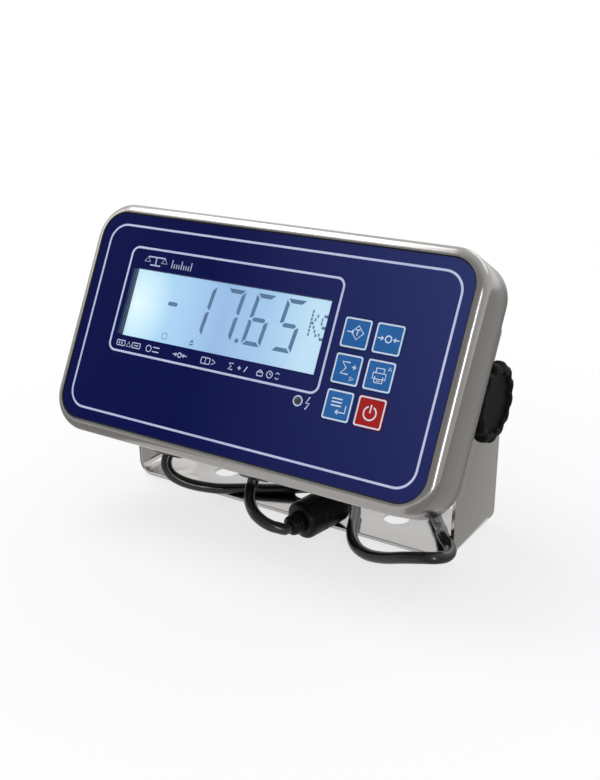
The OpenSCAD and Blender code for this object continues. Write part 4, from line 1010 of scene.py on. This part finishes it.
CAMERA_AT = (0.28203, -0.44176, 0.26286)
CAMERA_AZIMUTH = 32.92
CAMERA_PITCH = 23.41
CAMERA_ROLL = 0.56
CAMERA_LENS = 49.077
CAMERA_SENSOR = 36
CAMERA_SHIFT = (-0.00174, 0.0595)


class INDICATOR_OT_camera(bpy.types.Operator):
    """Place the camera that was fitted to the photograph"""
    bl_idname = "indicator.camera"
    bl_label = "Camera"

    def execute(self, context):
        az, pitch, roll = (math.radians(a) for a in (CAMERA_AZIMUTH, CAMERA_PITCH, CAMERA_ROLL))
        forward = Vector((-math.sin(az) * math.cos(pitch), math.cos(az) * math.cos(pitch), -math.sin(pitch)))
        right = Vector((math.cos(az), math.sin(az), 0))
        down = forward.cross(right)
        x = right * math.cos(roll) + down * math.sin(roll)
        y = right * math.sin(roll) - down * math.cos(roll)
        data = bpy.data.cameras.new("camera")
        data.lens = CAMERA_LENS
        data.sensor_width = CAMERA_SENSOR
        data.shift_x, data.shift_y = CAMERA_SHIFT
        data.clip_start = 0.01
        obj = bpy.data.objects.new("camera", data)
        context.collection.objects.link(obj)
        m = Matrix((x, y, -forward)).transposed().to_4x4()
        m.translation = Vector(CAMERA_AT)
        obj.matrix_world = m
        context.scene.camera = obj
        return {"FINISHED"}


LAMPS = (
    # name, place, aim, width and height in metres, watts
    ("lamp_top", (-0.62, 0.05, 1.08), (0, 0, 0.05), (0.9, 0.5), 6.0),
    ("lamp_front_left", (-1.2, -0.25, 0.7), (0, 0, 0.05), (0.7, 0.7), 2.0),
    ("lamp_right", (1.05, -0.72, 0.42), (0, 0, 0.08), (0.1, 0.8), 3.4),
    ("lamp_back", (0.35, 1.2, 0.9), (0, 0, 0.05), (1.2, 0.5), 3.0),
)
# Grey cards on the table by the object, which only metal and gloss see: least and most x and y
CARDS = (
    ("card_right", 0.1, 0.9, -0.3, 0.9),
    ("card_left", -0.9, -0.1, -0.3, 0.9),
    ("card_behind", -0.1, 0.1, 0.026, 0.9),
)
CARD_GREY = (0.45, 0.44, 0.43)
CARD_HEIGHT = 0.0006
FLOOR_SIZE = 8
PAPER_TINTS = (0.93, 0.93, 0.93), (0.96, 0.96, 0.96)
# How white the floor glows by the object and from where the backdrop begins, and these distances in metres
FLOOR_GLOW = (0.72, 1)
FLOOR_FADE = (0.12, 0.3)
ROOM_LIGHT = 0.6
# What metal and gloss see: a white backdrop, and a greyer room in front, along Y as the world gives it
ROOM_GREY = (0.3, 0.3, 0.3)
ROOM_SHARE = (0.22, 1)
ROOM_FADE = (-0.55, 0.35)


def flat_mesh(name, parts, size):
    """A level grid on the table, so many parts a side."""
    bpy.ops.object.select_all(action="DESELECT")
    bpy.ops.mesh.primitive_grid_add(x_subdivisions=parts, y_subdivisions=parts, size=size)
    obj = bpy.context.object
    rename(obj, name)
    return obj


def area_lamp(name, at, target, size, power):
    data = bpy.data.lights.new(name, "AREA")
    data.shape = "RECTANGLE"
    data.size, data.size_y = size
    data.energy = power
    obj = bpy.data.objects.new(name, data)
    bpy.context.collection.objects.link(obj)
    obj.location = at
    obj.rotation_euler = (Vector(target) - Vector(at)).to_track_quat("-Z", "Y").to_euler()


def white_rays(t):
    """1 for camera, glossy and transmission rays, which see the white background."""
    path = node(t, "ShaderNodeLightPath").outputs
    seen = maths(t, "MAXIMUM", path["Is Camera Ray"], path["Is Glossy Ray"])
    return maths(t, "MAXIMUM", seen, path["Is Transmission Ray"])


def floor_material():
    """White paper that fades into the white background away from the object."""
    m = bpy.data.materials.new("Floor")
    t = empty_tree(m)
    noise = node(t, "ShaderNodeTexNoise", {"Scale": 3})
    tint = mix_colour(t, noise.outputs["Fac"], *PAPER_TINTS)
    paper = node(t, "ShaderNodeBsdfDiffuse", {"Color": tint})
    glow = node(t, "ShaderNodeEmission")
    place = node(t, "ShaderNodeTexCoord").outputs["Object"]
    length = node(t, "ShaderNodeVectorMath", {0: place}, operation="LENGTH").outputs["Value"]
    fade = remap(t, length, *FLOOR_GLOW, *FLOOR_FADE)
    share = maths(t, "MULTIPLY", fade, white_rays(t))
    mix = node(t, "ShaderNodeMixShader", {0: share, 1: paper.outputs[0], 2: glow.outputs[0]})
    node(t, "ShaderNodeOutputMaterial", {"Surface": mix.outputs[0]})
    return m


def card_material():
    m = bpy.data.materials.new("Grey card")
    t = empty_tree(m)
    glow = node(t, "ShaderNodeEmission", {"Color": CARD_GREY})
    node(t, "ShaderNodeOutputMaterial", {"Surface": glow.outputs[0]})
    return m


def build_world(scene):
    """An even light for the surfaces, and a white and grey room for what metal and gloss mirror."""
    scene.world = bpy.data.worlds.new("Studio")
    t = empty_tree(scene.world)
    back = remap(t, position(t, "Generated")["Y"], *ROOM_SHARE, *ROOM_FADE)
    camera_ray = node(t, "ShaderNodeLightPath").outputs["Is Camera Ray"]
    bright = maths(t, "MAXIMUM", back, camera_ray)
    room = mix_colour(t, bright, ROOM_GREY, (1, 1, 1))
    seen = node(t, "ShaderNodeBackground", {"Color": room})
    lit = node(t, "ShaderNodeBackground", {"Strength": ROOM_LIGHT})
    mix = node(t, "ShaderNodeMixShader", {
        0: white_rays(t), 1: lit.outputs[0], 2: seen.outputs[0]})
    node(t, "ShaderNodeOutputWorld", {"Surface": mix.outputs[0]})


class INDICATOR_OT_stage(bpy.types.Operator):
    """Make the pale floor, the lamps, the grey cards and the white surroundings"""
    bl_idname = "indicator.stage"
    bl_label = "Stage"

    def execute(self, context):
        floor = flat_mesh("floor", 8, FLOOR_SIZE)
        floor.data.materials.append(floor_material())
        for lamp in LAMPS:
            area_lamp(*lamp)
        grey = card_material()
        for name, x0, x1, y0, y1 in CARDS:
            card = flat_mesh(name, 2, 1)
            place_mesh(card, Matrix.Translation(((x0 + x1) / 2, (y0 + y1) / 2, CARD_HEIGHT))
                       @ Matrix.Diagonal((x1 - x0, y1 - y0, 1, 1)))
            card.data.materials.append(grey)
            card.visible_camera = card.visible_diffuse = card.visible_shadow = False
            card.visible_transmission = False
        build_world(context.scene)
        context.scene.view_settings.view_transform = "Standard"
        return {"FINISHED"}


class INDICATOR_PT_panel(bpy.types.Panel):
    """Lists the sizes and colours that can be set, and the steps in their order"""
    bl_idname = "INDICATOR_PT_panel"
    bl_label = "Weighing indicator"
    bl_space_type = "VIEW_3D"
    bl_region_type = "UI"
    bl_category = "Indicator"

    def draw(self, context):
        column = self.layout.column()
        for name, kind in SETTINGS.items():
            for key in kind.__annotations__:
                column.prop(getattr(context.scene, name), key)
        for name in STEPS:
            column.operator("indicator." + name)


SETTINGS = {
    "indicator_metal": IndicatorMetal, "indicator_face": IndicatorFace, "indicator_leads": IndicatorLeads,
}
CLASSES = (
    *SETTINGS.values(), INDICATOR_OT_camera, INDICATOR_OT_finishes, INDICATOR_OT_leads,
    INDICATOR_OT_metalwork, INDICATOR_OT_knobs, INDICATOR_OT_face, INDICATOR_OT_stage, INDICATOR_PT_panel,
)
STEPS = ("camera", "finishes", "leads", "metalwork", "knobs", "face", "stage")


def register():
    for c in CLASSES:
        bpy.utils.register_class(c)
    for name, kind in SETTINGS.items():
        setattr(bpy.types.Scene, name, bpy.props.PointerProperty(type=kind))


def unregister():
    for name in SETTINGS:
        delattr(bpy.types.Scene, name)
    for c in reversed(CLASSES):
        bpy.utils.unregister_class(c)


def main():
    register()
    for step in STEPS:
        getattr(bpy.ops.indicator, step)()
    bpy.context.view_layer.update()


if __name__ == "__main__":
    main()
